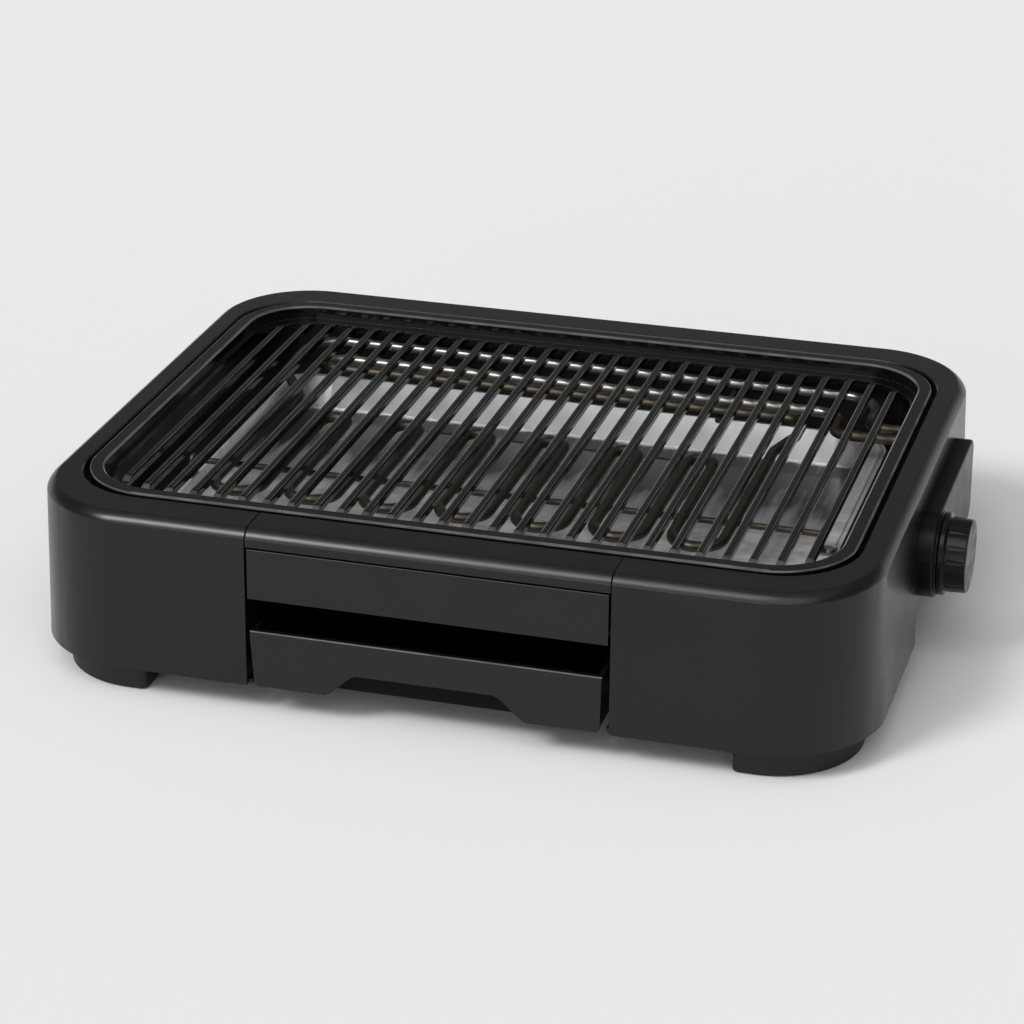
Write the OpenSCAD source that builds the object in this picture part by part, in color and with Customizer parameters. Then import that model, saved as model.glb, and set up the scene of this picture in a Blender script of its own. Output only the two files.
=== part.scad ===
// Electric indoor grill: a moulded housing with a cast grate over a
// serpentine heating element, a reflector pan and a pull-out drip tray.
// Millimetres. X runs to the right, Y to the back, Z up from the table.

/* [Housing] */
// Width of the housing across its rim
housing_w = 480; // [460:1:520]
// Depth of the housing across its rim
housing_d = 374.5; // [362:0.5:400]
// Height of the rim above the table
housing_h = 111.5; // [109:0.5:122]
// Height of the gap under the housing, which the feet span
foot_h = 18.5; // [15:0.5:22]
// Radius of the upright corners at the rim
housing_corner_r = 58.7; // [52:0.1:66]
// How far each wall leans outward from the rim edge to the bottom edge
wall_flare = 2.8; // [0.6:0.1:4]
// Thickness of the moulded walls
wall_t = 2.6; // [2:0.1:3.4]
// Width and height of the rounded edge between rim and wall
rim_edge = 5.6; // [4:0.1:7]
// Bulge of the rounded rim edge beyond a straight bevel
rim_bulge = 0.8; // [0.2:0.1:1.4]

/* [Cooking opening] */
// Width of the rim at both sides of the opening
rim_side = 16; // [14:0.5:20]
// Width of the rim in front of and behind the opening
rim_front = 25.75; // [24:0.25:30]
// Corner radius of the opening
opening_corner_r = 45; // [38:0.5:50]
// Chamfer round the upper edge of the opening
opening_edge = 0.8; // [0.4:0.1:1.2]
// Thickness of the lip that hangs round the opening
lip_t = 2.4; // [1.6:0.1:3]
// Depth of the shelf that carries the grate, below the rim
shelf_drop = 10; // [8:0.5:12]

/* [Front bay] */
// Width of the bay for the panel and the drip tray, between the seams
bay_w = 207.2; // [200:0.2:216]
// Width of the seam lines on the rim
seam_gap = 0.5; // [0.3:0.1:1]
// Height of the fixed front panel
panel_h = 29.3; // [24:0.1:32]
// Height of the open slot between panel and tray
slot_h = 17.5; // [12:0.5:24]
// Gap round the front panel
panel_gap = 1; // [0.6:0.1:1.6]
// Depth of the bay's side cheeks behind the wall
cheek_d = 24; // [16:1:30]

/* [Drip tray] */
// Gap between tray front and bay on each side
tray_gap = 3.6; // [2.6:0.1:4.6]
// How far the tray front stands proud of the wall
tray_proud = 3.6; // [2:0.1:6]
// Gap between the tray and the table plane of the housing
tray_lift = 0.9; // [0.5:0.1:2]
// Length of the tray from front face to rear wall
tray_len = 306; // [290:1:316]
// Thickness of the tray walls
tray_wall = 2.5; // [2:0.1:3]
// Inward lean of the tray's sides from top to bottom
tray_draft = 1.2; // [0.4:0.1:2]
// Width of the finger notch at the bottom of the tray front
notch_w = 116; // [90:1:130]
// Height of the finger notch
notch_h = 14.3; // [10:0.1:18]
// Width that each sloping end of the notch takes
notch_slope = 19; // [14:0.5:26]
// Depth of the finger recess behind the tray front
notch_d = 9; // [7:0.5:16]

/* [Grate] */
// Gap between the grate and the opening
grate_gap = 2.5; // [1.5:0.1:3.5]
// Height of the grate's frame above the rim
grate_proud = 1; // [0:0.1:2]
// Width of the grate's frame
ring_w = 8.5; // [7:0.1:10]
// Number of bars
bar_count = 28; // [20:2:28]
// Spacing of the bars
bar_pitch = 14.6; // [13:0.1:14.8]
// Width of a bar at its top
bar_top_w = 4.4; // [3.6:0.1:5.4]
// Width of a bar at its underside
bar_foot_w = 3.4; // [2.6:0.1:4]
// Depth of the bars' tops below the top of the frame
bar_drop = 5.4; // [4:0.1:6]
// Thickness of the ledge that joins the bar ends
ledge_t = 3; // [2:0.1:3.6]
// Width of the ledge at front and back
ledge_w = 8; // [6:0.5:10]
// Length over which the bar ends curve down to the ledge
bar_bend = 10; // [6:0.5:14]

/* [Heating element] */
// Diameter of the heater's metal sheath
sheath_d = 6.3; // [5.4:0.1:7]
// Depth of the heater's centreline below the rim
heater_drop = 20; // [18.5:0.5:22]
// Number of hairpin loops
loop_count = 7; // [5:1:7]
// Spacing of the loops
loop_pitch = 45.3; // [42:0.1:46]
// Distance between the two legs of a loop
loop_w = 29.3; // [27:0.1:30]
// Distance of the loops' front bends behind the well's front wall
loop_fore = 57.5; // [50:0.5:70]
// Length of the loops from front to back
loop_len = 121; // [100:1:126]
// Distance of the back run from the well's rear wall
back_run_gap = 6.5; // [5.5:0.5:10]
// Diameter of the support rods
rod_d = 3.8; // [3:0.1:4.6]
// Distance of the support rod behind the loops' front bends
rod_back = 48; // [36:1:60]

/* [Well] */
// Thickness of the steel sheet
sheet_t = 1; // [0.8:0.1:1.4]
// Width of the shelf under the grate's frame at the sides
shelf_side = 10; // [9:0.5:12]
// Width of the shelf under the grate's frame at front and back
shelf_front = 7; // [6.5:0.5:9]
// Depth of the reflector's flange below the rim
flange_drop = 36; // [34:0.5:38]
// Gap between the reflector and the well at both sides
reflector_side = 15; // [12:0.5:22]
// Gap between the reflector and the well's rear wall
reflector_rear = 25.5; // [22:0.5:32]
// Gap between the reflector and the well's front wall
reflector_fore = 15.5; // [12:0.5:22]
// Width of the reflector's side and front flanges
reflector_flange = 10; // [9.5:0.5:12]
// Depth of the reflector pan
reflector_depth = 20; // [16:0.5:20.5]
// How far the pan's walls lean inward over its depth
reflector_draft = 6.5; // [4:0.1:8]
// Corner radius of the reflector pan at its top
reflector_r = 25; // [18:0.5:30]
// Height of the bead pressed into the flange
bead_h = 0.8; // [0.4:0.1:0.9]

/* [Control] */
// Height of the knob's axis above the table
knob_z = 66.2; // [60:0.1:68]
// Distance of the knob's axis in front of the middle
knob_y = 10.5; // [0:0.5:20]
// Radius of the round front end of the control pod
pod_r = 25.7; // [24.5:0.1:28]
// Distance of the pod's rear end behind the middle
pod_back = 106; // [90:1:112]
// How far the pod stands out from the rim's width
pod_out = 10.3; // [9:0.1:13]
// Diameter of the knob's grip
knob_d = 43; // [38:0.5:45]
// Length of the knob from skirt to face
knob_len = 16.1; // [12:0.1:20]
// Diameter of the knob's skirt
skirt_d = 47.6; // [46:0.1:48.4]
// Diameter of the thermostat spindle
spindle_d = 6; // [5:0.1:7]
// Number of grip flutes round the knob
flute_count = 16; // [8:1:24]

/* [Feet and grips] */
// How far the feet stand in from the housing's bottom edge
foot_inset = 11.3; // [8:0.1:14]
// Length of a foot along each wall
foot_len = 62.4; // [56:0.2:70]
// Thickness of the rubber pads that show under the feet
pad_show = 1; // [0.5:0.1:2]
// Radius of the rubber pads
pad_r = 9; // [7:0.5:11]
// Length of the hand grips in the side walls
grip_len = 90; // [80:1:100]
// Height of the hand grips
grip_h = 20; // [16:0.5:21]
// Distance of the grips' front end in front of the middle
grip_front = 35.5; // [30:0.5:42]
// Depth of the hand grip pockets
grip_d = 24; // [18:1:26]

/* [Fits] */
// Gap between fixed moulded pieces
fit_gap = 0.5; // [0.3:0.1:0.8]
// Gap round pieces that slide
slide_gap = 0.6; // [0.4:0.1:0.8]
// Gap round screws, rods and pins in their holes
hole_gap = 0.1; // [0.05:0.05:0.2]
// Gap round the turning spindle
turn_gap = 0.3; // [0.3:0.05:0.5]

/* [Hidden] */
$fn = 64;
tiny = 0.01;

// Half sizes of the rim and of the opening
half = [housing_w / 2, housing_d / 2];
hole_half = [half.x - rim_side, half.y - rim_front];
edge_z = housing_h - rim_edge;
shelf_z = housing_h - shelf_drop;

// Lean of the walls: distance outside the rim at height z
function lean(z) = wall_flare * (edge_z - z) / (edge_z - foot_h);

// Front bay, from the top down
bay_half = bay_w / 2;
panel_top = housing_h - 11.2;
panel_bottom = panel_top - panel_h;
tray_top = panel_bottom - slot_h;
tray_bottom = foot_h + tray_lift;
tray_half = bay_half - tray_gap;
tray_face = -half.y - tray_proud;
tray_rear = tray_face + tray_len;
tray_floor_t = 2;
tray_lip = 1.4;

// Runner channels beside the tray
rib_out = 2;
rib_t = 2;
rib_z = foot_h + 9;
runner_t = 1.5;
runner_in = tray_half + slide_gap;
runner_front = -half.y + cheek_d + 6;
runner_h = 14;
plate_t = 2.5;
plate_top = foot_h + plate_t;
plate_cut = tray_half + 1.4;

// Grate
ring_half = [hole_half.x - grate_gap, hole_half.y - grate_gap];
ring_r = opening_corner_r + 1;
ring_top = housing_h + grate_proud;
ledge_top = shelf_z + ledge_t;
bar_top = ring_top - bar_drop;
ledge_side = 2;
ledge_half = [ring_half.x - ring_w - ledge_side, ring_half.y - ring_w - ledge_w];
ledge_r = ring_r - ring_w + 2.5;

// Well: steel liner and reflector
well_half = [hole_half.x - grate_gap + 1.5 - shelf_side, hole_half.y - grate_gap + 1.5 - shelf_front];
well_r = ring_r - ring_w + 3;
liner_half = [half.x - wall_t - 3, half.y - wall_t - 9];
flange_z = housing_h - flange_drop;
ledge_plate_z = flange_z - sheet_t;
rear_lip = 2;
reflector_back = well_half.y - reflector_rear;
reflector_front = well_half.y - reflector_fore;
pan_half = well_half.x - reflector_side - reflector_flange;
pan_back = reflector_back - rear_lip;
pan_front = reflector_front - reflector_flange;
pan_floor = flange_z - reflector_depth;
pan_slope = reflector_draft / reflector_depth;
gutter_y = pan_back - reflector_draft - 18.5;
gutter_fall = 1.5;
floor_rise = reflector_depth - 2;
bead_inset = 3.4;
drain_len = 40;
drain_w = 2.4;

// Heater
heater_z = housing_h - heater_drop;
loop_front = well_half.y - loop_fore;
loop_back = loop_len - loop_front;
back_run_y = well_half.y - back_run_gap;
rod_y = loop_front - rod_back;
sheath_r = sheath_d / 2;
rod_r = rod_d / 2;
rod_z = heater_z - sheath_r - rod_r - hole_gap;
loop_mid = 10.4;
first_loop = loop_mid + loop_pitch * (loop_count - 1) / 2 - 2 * loop_mid;
loop_x = [for (k = [0 : loop_count - 1]) first_loop - loop_pitch * k];
gap_r = (loop_pitch - loop_w) / 2;
left_leg_x = -well_half.x + 32;
right_leg_x = well_half.x - 26;
run_gap = 16;
run_y = back_run_y - 46;
run_left = -pan_half + 30;
run_right = pan_half - 20;
term_y = [run_y, run_y - run_gap];
term_x = well_half.x + 12;
pin_len = 6;
bracket_x = pan_half + 0.2;
bracket_t = 1.4;
bracket_w = 10;
bracket_foot = 9;
bracket_screw_x = bracket_x + 5.3;
rest_x = 95;

// Control
pod_face = half.x + pod_out;
pod_wall = 2.4;
knob_base = pod_face + 1.5;
knob_face = knob_base + knob_len;
collar_t = 1.1;
plate_x = half.x + 4;
plate_thick = 1.2;
stat_r = 14;
stat_len = 18;
spindle_r = spindle_d / 2;

// Feet
bottom_half = [half.x + wall_flare - foot_inset, half.y + wall_flare - foot_inset];
foot_r = housing_corner_r + wall_flare - foot_inset;
foot_c = [bottom_half.x - foot_len / 2, bottom_half.y - foot_len / 2];
CORNERS = [[-1, -1], [1, -1], [-1, 1], [1, 1]];

// Screws
screw_r = 1.5;
head_r = 3;
head_t = 1.4;
boss_r = 4;
base_boss_x = half.x - wall_t - boss_r - 1.5;
base_boss_y = half.y - wall_t - boss_r - 1.5;
base_boss_front = 140;
base_boss_rear = 95;
base_boss_fore = 75;
base_boss_aft = half.y - 102.25;
BASE_BOSSES = concat(
  [for (sx = [-1, 1], y = [-base_boss_fore, base_boss_aft]) [sx * base_boss_x, y]],
  [for (sx = [-1, 1]) [sx * base_boss_front, -base_boss_y]],
  [for (sx = [-1, 1]) [sx * base_boss_rear, base_boss_y]]
);
boss_h = 20;
rim_boss_y = (hole_half.y + lip_t + half.y - wall_t) / 2 - 1.5;
RIM_BOSSES = [for (sx = [-1, 1], sy = [-1, 1]) [sx * 150, sy * rim_boss_y]];
BACK_BOSSES = [for (sx = [-1, 1]) [sx * 60, rim_boss_y]];
BRIDGE_BOSSES = [for (sx = [-1, 1]) [sx * 60, -rim_boss_y]];

// Inlet in the rear wall
inlet_x = 140;
inlet_z = 48;
inlet_size = [28, 20];
inlet_ear = 20;
inlet_seat = half.y + lean(inlet_z) - 1.2;
inlet_face = half.y + lean(inlet_z - inlet_size.y / 2) + 0.4;

// The model stands centred over the middle of its overall size
front_end = tray_face - tray_lip;
right_end = knob_face;
shift = [-(right_end - half.x - wall_flare) / 2, -(front_end + half.y + wall_flare) / 2, 0];

module place() {
  translate(shift) children();
}

// ---------- Shape helpers ----------

// Rounded rectangle given by its half sizes
module rounded(h, r) {
  square([2 * h.x, 2 * (h.y - r)], center = true);
  square([2 * (h.x - r), 2 * h.y], center = true);
  for (c = CORNERS)
    translate([c.x * (h.x - r), c.y * (h.y - r)]) circle(r);
}

// Rounded rectangle between y0 and y1
module rounded_span(hx, y0, y1, r) {
  translate([0, (y0 + y1) / 2]) rounded([hx, (y1 - y0) / 2], r);
}

// Sweeps a section round a rounded rectangle: section x runs outward, y runs up
module swept(h, r) {
  ends = [0, 90, 180, 270];
  signs = [[1, 1], [-1, 1], [-1, -1], [1, -1]];
  for (i = [0 : 3]) {
    translate([signs[i].x * (h.x - r), signs[i].y * (h.y - r), 0])
      rotate([0, 0, ends[i]])
        rotate_extrude(angle = 90, $fn = 128) translate([r, 0]) children();
    reach = (i % 2 == 0) ? h.x : h.y;
    span = (i % 2 == 0) ? h.y - r : h.x - r;
    rotate([0, 0, ends[i]]) translate([reach, span, 0]) rotate([90, 0, 0])
      linear_extrude(2 * span) children();
  }
}

// Extrudes a Y-Z profile along X, centred
module along_x(width) {
  translate([-width / 2, 0, 0]) rotate([90, 0, 90]) linear_extrude(width) children();
}

// Extrudes an X-Z profile along Y, from y0 to y1
module along_y(y0, y1) {
  translate([0, y1, 0]) rotate([90, 0, 0]) linear_extrude(y1 - y0) children();
}

// Cylinder along X from x0 to x1
module rod_x(x0, x1, y, z, r) {
  translate([x0, y, z]) rotate([0, 90, 0]) cylinder(h = x1 - x0, r = r);
}

// Cylinder along Y from y0 to y1
module rod_y(y0, y1, x, z, r) {
  translate([x, y0, z]) rotate([-90, 0, 0]) cylinder(h = y1 - y0, r = r);
}

// Box between two corners
module box(a, b) {
  translate(a) cube(b - a);
}

// ---------- Moulded housing ----------

// Outer line of the rim edge, from the wall up to the rim
function rim_line(n) = [
  for (i = [0 : n])
    let (t = i / n, b = 4 * rim_bulge * t * (1 - t) / sqrt(2))
    [-rim_edge * t + b, edge_z + rim_edge * t + b]
];

// Wall section from the bottom edge to the rim, x measured from the rim outline
module wall_section() {
  polygon(concat(
    [[wall_flare, foot_h]],
    rim_line(8),
    [
      [-rim_edge - 4, housing_h],
      [-rim_edge - 4, housing_h - wall_t],
      [-rim_edge - 0.6, housing_h - wall_t],
      [lean(edge_z - 0.6) - wall_t, edge_z - 0.6],
      [wall_flare - wall_t, foot_h]
    ]
  ));
}

// Half space outside the outer wall face, as an X-Z section
module outside_section() {
  polygon([
    [lean(0), 0],
    [lean(housing_h), housing_h],
    [60, housing_h],
    [60, 0]
  ]);
}

module shell() {
  swept(half, housing_corner_r) wall_section();
  difference() {
    translate([0, 0, housing_h - wall_t])
      linear_extrude(wall_t)
        difference() {
          rounded(half - [rim_edge + 1, rim_edge + 1], housing_corner_r - rim_edge - 1);
          rounded(hole_half, opening_corner_r);
        }
    swept(hole_half, opening_corner_r)
      polygon([
        [-1, housing_h - opening_edge - 1],
        [opening_edge + 1, housing_h + 1],
        [-1, housing_h + 1]
      ]);
  }
  swept(hole_half, opening_corner_r) lip_section();
}

module lip_section() {
  translate([0, shelf_z]) square([lip_t, housing_h - wall_t / 2 - shelf_z]);
}

// Space that the front bay takes out of the shell
module bay_cut(grow, z0) {
  box([-bay_half - grow, -half.y - wall_flare - 20, z0],
      [bay_half + grow, -hole_half.y + 6, housing_h + 10]);
}

// Short screw boss that a rib ties to the wall beside it
module base_boss(p) {
  side = abs(p.x) > base_boss_x - tiny;
  reach = lean(plate_top) - wall_t + 0.8;
  far = side ? [sign(p.x) * (half.x + reach), p.y] : [p.x, sign(p.y) * (half.y + reach)];
  pad = side ? [0, 1.2] : [1.2, 0];
  difference() {
    union() {
      translate([p.x, p.y, plate_top]) cylinder(h = boss_h, r = boss_r, $fn = 32);
      box([min(p.x, far.x) - pad.x, min(p.y, far.y) - pad.y, plate_top],
          [max(p.x, far.x) + pad.x, max(p.y, far.y) + pad.y, plate_top + boss_h]);
    }
    translate([p.x, p.y, plate_top - tiny])
      cylinder(h = boss_h - 4, r = screw_r + hole_gap, $fn = 32);
  }
}

// Screw boss under the rim, down to the liner's shelf
module rim_boss(p) {
  difference() {
    translate([p.x, p.y, shelf_z])
      cylinder(h = housing_h - wall_t / 2 - shelf_z, r = boss_r, $fn = 32);
    translate([p.x, p.y, shelf_z - tiny])
      cylinder(h = housing_h - wall_t - shelf_z - 1, r = screw_r + hole_gap, $fn = 32);
  }
}

// Cheeks that line the front bay and carry the panel on flanges
module bay_cheek(s) {
  x0 = s > 0 ? bay_half : -bay_half - wall_t;
  box([x0, -half.y + wall_t / 2, plate_top],
      [x0 + wall_t, -half.y + cheek_d, shelf_z - sheet_t - fit_gap]);
  f0 = s > 0 ? bay_half - 10 : -bay_half - wall_t;
  box([f0, -half.y + 8, panel_bottom + 2],
      [f0 + 10 + wall_t, -half.y + 8 + wall_t, panel_top - 2]);
}

PANEL_BOSSES = [for (s = [-1, 1]) [s * (bay_half - 5.5), (panel_top + panel_bottom) / 2]];

// Opening of a hand grip in the side wall, a half outline with round top corners
module grip_outline() {
  r = 10;
  translate([-grip_front, foot_h - 1]) {
    square([grip_len, grip_h + 1 - r]);
    translate([r, 0]) square([grip_len - 2 * r, grip_h + 1]);
    for (y = [r, grip_len - r])
      translate([y, grip_h + 1 - r]) circle(r);
  }
}

module housing() {
  color([0.16, 0.16, 0.165]) place() {
    difference() {
      shell();
      bay_cut(0, foot_h - 10);
      // hand grips in both side walls
      along_x(2 * half.x + 40) grip_outline();
      // window behind the control pod
      rotate([90, 0, 90]) translate([0, 0, half.x - wall_t - 4]) linear_extrude(wall_t + 10)
        translate([(pod_back - 10 - knob_y - stat_r - 3) / 2, knob_z])
          square([pod_back - 10 + knob_y + stat_r + 3, 2 * stat_r + 3], center = true);
      // appliance inlet and its two screws
      translate([inlet_x, half.y, inlet_z])
        cube([inlet_size.x + 2 * fit_gap, 20, inlet_size.y + 2 * fit_gap], center = true);
      for (s = [-1, 1]) {
        rod_y(half.y - 10, half.y + 10, inlet_x + s * inlet_ear, inlet_z, screw_r + hole_gap);
        rod_y(inlet_seat, half.y + 10, inlet_x + s * inlet_ear, inlet_z, head_r + hole_gap);
      }
      // holes for the screws of the control pod
      for (p = POD_BOSSES)
        rod_x(half.x - 10, half.x + 10, p.x, p.y, screw_r + hole_gap);
    }
    for (p = BASE_BOSSES) base_boss(p);
    for (p = concat(RIM_BOSSES, BACK_BOSSES)) rim_boss(p);
    difference() {
      for (s = [-1, 1]) bay_cheek(s);
      for (p = PANEL_BOSSES)
        rod_y(-half.y, -half.y + 20, p.x, p.y, screw_r + hole_gap);
    }
  }
}

// Middle of the front rim, a separate moulding between two seams
module front_bridge() {
  color([0.17, 0.17, 0.175]) place() {
    intersection() {
      shell();
      bay_cut(-seam_gap, panel_top + panel_gap);
    }
    for (p = BRIDGE_BOSSES) rim_boss(p);
  }
}

// Fixed panel under the bridge, flush with the sloping wall
module front_panel() {
  color([0.15, 0.15, 0.155]) place() {
    intersection() {
      rotate([0, 0, -90]) translate([half.y, bay_half, 0]) rotate([90, 0, 0])
        linear_extrude(2 * bay_half)
          polygon([
            [lean(panel_top), panel_top],
            [lean(panel_bottom), panel_bottom],
            [lean(panel_bottom) - wall_t, panel_bottom],
            [lean(panel_top) - wall_t, panel_top]
          ]);
      box([-bay_half + panel_gap + 0.4, -half.y - 10, panel_bottom],
          [bay_half - panel_gap - 0.4, -half.y + 20, panel_top]);
    }
    for (p = PANEL_BOSSES)
      difference() {
        rod_y(-half.y + wall_t / 2, -half.y + 8, p.x, p.y, 3.6);
        rod_y(-half.y + wall_t, -half.y + 9, p.x, p.y, screw_r + hole_gap);
      }
    // stiffening rib along the top and the bottom
    for (z = [panel_bottom + 1, panel_top - 3])
      box([-bay_half + 12, -half.y + wall_t / 2, z],
          [bay_half - 12, -half.y + 7, z + 2]);
  }
}

// Bottom cover with the tray bay, vents and the hand grip pockets
module base_plate() {
  plate_half = [half.x + wall_flare - wall_t - fit_gap, half.y + wall_flare - wall_t - fit_gap];
  pocket_x = half.x - wall_t - grip_d;
  color([0.1, 0.1, 0.105]) place() {
    difference() {
      union() {
        translate([0, 0, foot_h]) linear_extrude(plate_t)
          difference() {
            rounded(plate_half, housing_corner_r + wall_flare - wall_t - fit_gap);
            translate([-plate_cut, -half.y - 20])
              square([2 * plate_cut, tray_rear + 2 + half.y + 20]);
          }
        for (s = [-1, 1]) grip_pocket(s, pocket_x, 2);
      }
      for (s = [-1, 1]) grip_pocket(s, pocket_x, 0);
      // cheeks of the bay stand on the plate; its front corners clear them
      for (p = BASE_BOSSES) screw_hole(p);
      for (c = CORNERS) screw_hole([c.x * foot_c.x, c.y * foot_c.y]);
      for (s = [-1, 1], i = [0 : 5])
        translate([s * 160, -66 + 26 * i, foot_h - 1]) linear_extrude(plate_t + 2)
          rounded([22, 2.5], 2.4);
      for (s = [-1, 1], y = RUNNER_SCREWS)
        translate([s * (runner_in + rib_out + runner_t + 7), y, foot_h - 1])
          cylinder(h = plate_t + 2, r = screw_r + hole_gap, $fn = 32);
    }
  }
}

RUNNER_SCREWS = [runner_front + 20, (runner_front + tray_rear) / 2, tray_rear - 20];

module screw_hole(p) {
  translate([p.x, p.y, foot_h - 1]) cylinder(h = plate_t + 2, r = screw_r + hole_gap, $fn = 32);
  translate([p.x, p.y, foot_h - tiny]) cylinder(h = head_t * 0.9, r = head_r + hole_gap, $fn = 32);
}

// Pocket behind a hand grip, grown by t to make its outer skin
module grip_pocket(s, x_in, t) {
  x_out = half.x - wall_t - fit_gap;
  low = t > 0 ? foot_h : foot_h - 5;
  y0 = -grip_front - t;
  y1 = -grip_front + grip_len + t;
  box([min(s * (x_in - t), s * (x_out + 4 - 2 * t)), y0, low],
      [max(s * (x_in - t), s * (x_out + 4 - 2 * t)), y1, foot_h + grip_h + t]);
}

// ---------- Feet ----------

// Outline of the front left foot: one corner follows the housing, the rest are small
module foot_outline(d) {
  h = foot_len / 2 - d;
  big = foot_r - d;
  small = 4 - d;
  polygon([
    [-h + big, -h], [h - small, -h], [h, -h + small], [h, h - small],
    [h - small, h], [-h + small, h], [-h, h - small], [-h, -h + big]
  ]);
  intersection() {
    translate([-h + big, -h + big]) circle(big);
    translate([-h, -h]) square([big, big]);
  }
  for (p = [[h - small, -h + small], [h - small, h - small], [-h + small, h - small]])
    translate(p) circle(small, $fn = 32);
}

module foot(sx, sy) {
  color([0.09, 0.09, 0.095]) place()
    translate([sx * foot_c.x, sy * foot_c.y, pad_show])
      mirror([sx > 0 ? 1 : 0, 0, 0]) mirror([0, sy > 0 ? 1 : 0, 0])
        difference() {
          linear_extrude(foot_h - pad_show) foot_outline(0);
          difference() {
            translate([0, 0, 4]) linear_extrude(foot_h) foot_outline(3);
            cylinder(h = foot_h, r = 7, $fn = 48);
          }
          translate([0, 0, -1]) cylinder(h = foot_h + 2, r = screw_r + hole_gap, $fn = 32);
          translate([0, 0, -1]) cylinder(h = 2, r = pad_r + hole_gap, $fn = 64);
          translate([0, 0, -1]) cylinder(h = 8, r = head_r + hole_gap, $fn = 32);
        }
}

module foot_front_left() { foot(-1, -1); }
module foot_front_right() { foot(1, -1); }
module foot_rear_left() { foot(-1, 1); }
module foot_rear_right() { foot(1, 1); }

module foot_pads() {
  color([0.05, 0.05, 0.05]) place()
    for (c = CORNERS)
      translate([c.x * foot_c.x, c.y * foot_c.y, 0])
        cylinder(h = pad_show + 1, r = pad_r, $fn = 64);
}

// ---------- Drip tray ----------

// Tray front seen from the front: leaning sides, a notch with sloping ends
module tray_front_outline(notch) {
  low = tray_half - tray_draft;
  h = tray_top - tray_bottom;
  difference() {
    union() {
      polygon([
        [-tray_half, h], [tray_half, h], [low, 3], [low - 3, 0], [-low + 3, 0], [-low, 3]
      ]);
      for (s = [-1, 1]) translate([s * (low - 3), 3]) circle(3, $fn = 32);
    }
    if (notch) notch_outline();
  }
}

module notch_outline() {
  top = notch_w / 2 - notch_slope;
  r = 8;
  polygon(concat(
    [[-notch_w / 2 - 2, -1], [-notch_w / 2, 0]],
    ease(-notch_w / 2, 0, -top, notch_h),
    ease(top, notch_h, notch_w / 2, 0),
    [[notch_w / 2, 0], [notch_w / 2 + 2, -1]]
  ));
}

// Soft S-curve between two points
function ease(x0, z0, x1, z1) = [
  for (i = [0 : 10])
    let (t = i / 10, s = t * t * (3 - 2 * t))
    [x0 + (x1 - x0) * t, z0 + (z1 - z0) * (0.35 * t + 0.65 * s)]
];

module drip_tray() {
  body_y = tray_face + 3;
  inner = tray_half - tray_wall;
  color([0.13, 0.13, 0.135]) place() {
    difference() {
      union() {
        // front, leaning forward a little towards its lip
        intersection() {
          along_y(tray_face - 2, tray_face + 6)
            translate([0, tray_bottom]) tray_front_outline(true);
          along_x(2 * tray_half + 2) polygon([
            [tray_face, tray_bottom], [tray_face - tray_lip, tray_top - 1.4],
            [tray_face - tray_lip + 0.2, tray_top - 0.5], [tray_face - tray_lip + 0.8, tray_top],
            [tray_face + 1.4, tray_top], [tray_face + 2, tray_top - 0.6],
            [tray_face + 3.2, tray_bottom]
          ]);
        }
        // box behind the front
        difference() {
          along_y(body_y - 2, tray_rear)
            translate([0, tray_bottom]) tray_body_outline();
          along_y(body_y + 0.5, tray_rear - tray_wall)
            translate([0, tray_bottom]) tray_inner_outline();
        }
        // hood over the finger recess
        box([-notch_w / 2 - 3, body_y - 1, tray_bottom],
            [notch_w / 2 + 3, body_y + notch_d, tray_bottom + notch_h + 3]);
        // running ribs along both sides
        for (s = [-1, 1])
          box([min(s * (tray_half - 2), s * (tray_half + rib_out - 0.6)), runner_front, rib_z],
              [max(s * (tray_half - 2), s * (tray_half + rib_out - 0.6)), tray_rear, rib_z + rib_t]);
      }
      // finger recess, open to the front and below
      box([-notch_w / 2, tray_face - 10, tray_bottom - 1],
          [notch_w / 2, body_y, tray_bottom - 0.5]);
      intersection() {
        box([-notch_w / 2, body_y - 3, tray_bottom - 2],
            [notch_w / 2, body_y + notch_d - 2, tray_bottom + notch_h]);
        along_y(body_y - 10, body_y + 30) translate([0, tray_bottom]) notch_outline();
      }
    }
  }
}

// Tray body seen from the front
module tray_body_outline() {
  low = tray_half - tray_draft;
  h = tray_top - tray_bottom - 0.6;
  polygon([[-tray_half, h], [tray_half, h], [low, 4], [low - 4, 0], [-low + 4, 0], [-low, 4]]);
  for (s = [-1, 1]) translate([s * (low - 4), 4]) circle(4, $fn = 32);
}

module tray_inner_outline() {
  low = tray_half - tray_draft - tray_wall;
  h = tray_top - tray_bottom + 2;
  f = tray_floor_t;
  polygon([
    [-tray_half + tray_wall, h], [tray_half - tray_wall, h],
    [low, f + 3], [low - 3, f], [-low + 3, f], [-low, f + 3]
  ]);
  for (s = [-1, 1]) translate([s * (low - 3), f + 3]) circle(3, $fn = 32);
}

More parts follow.
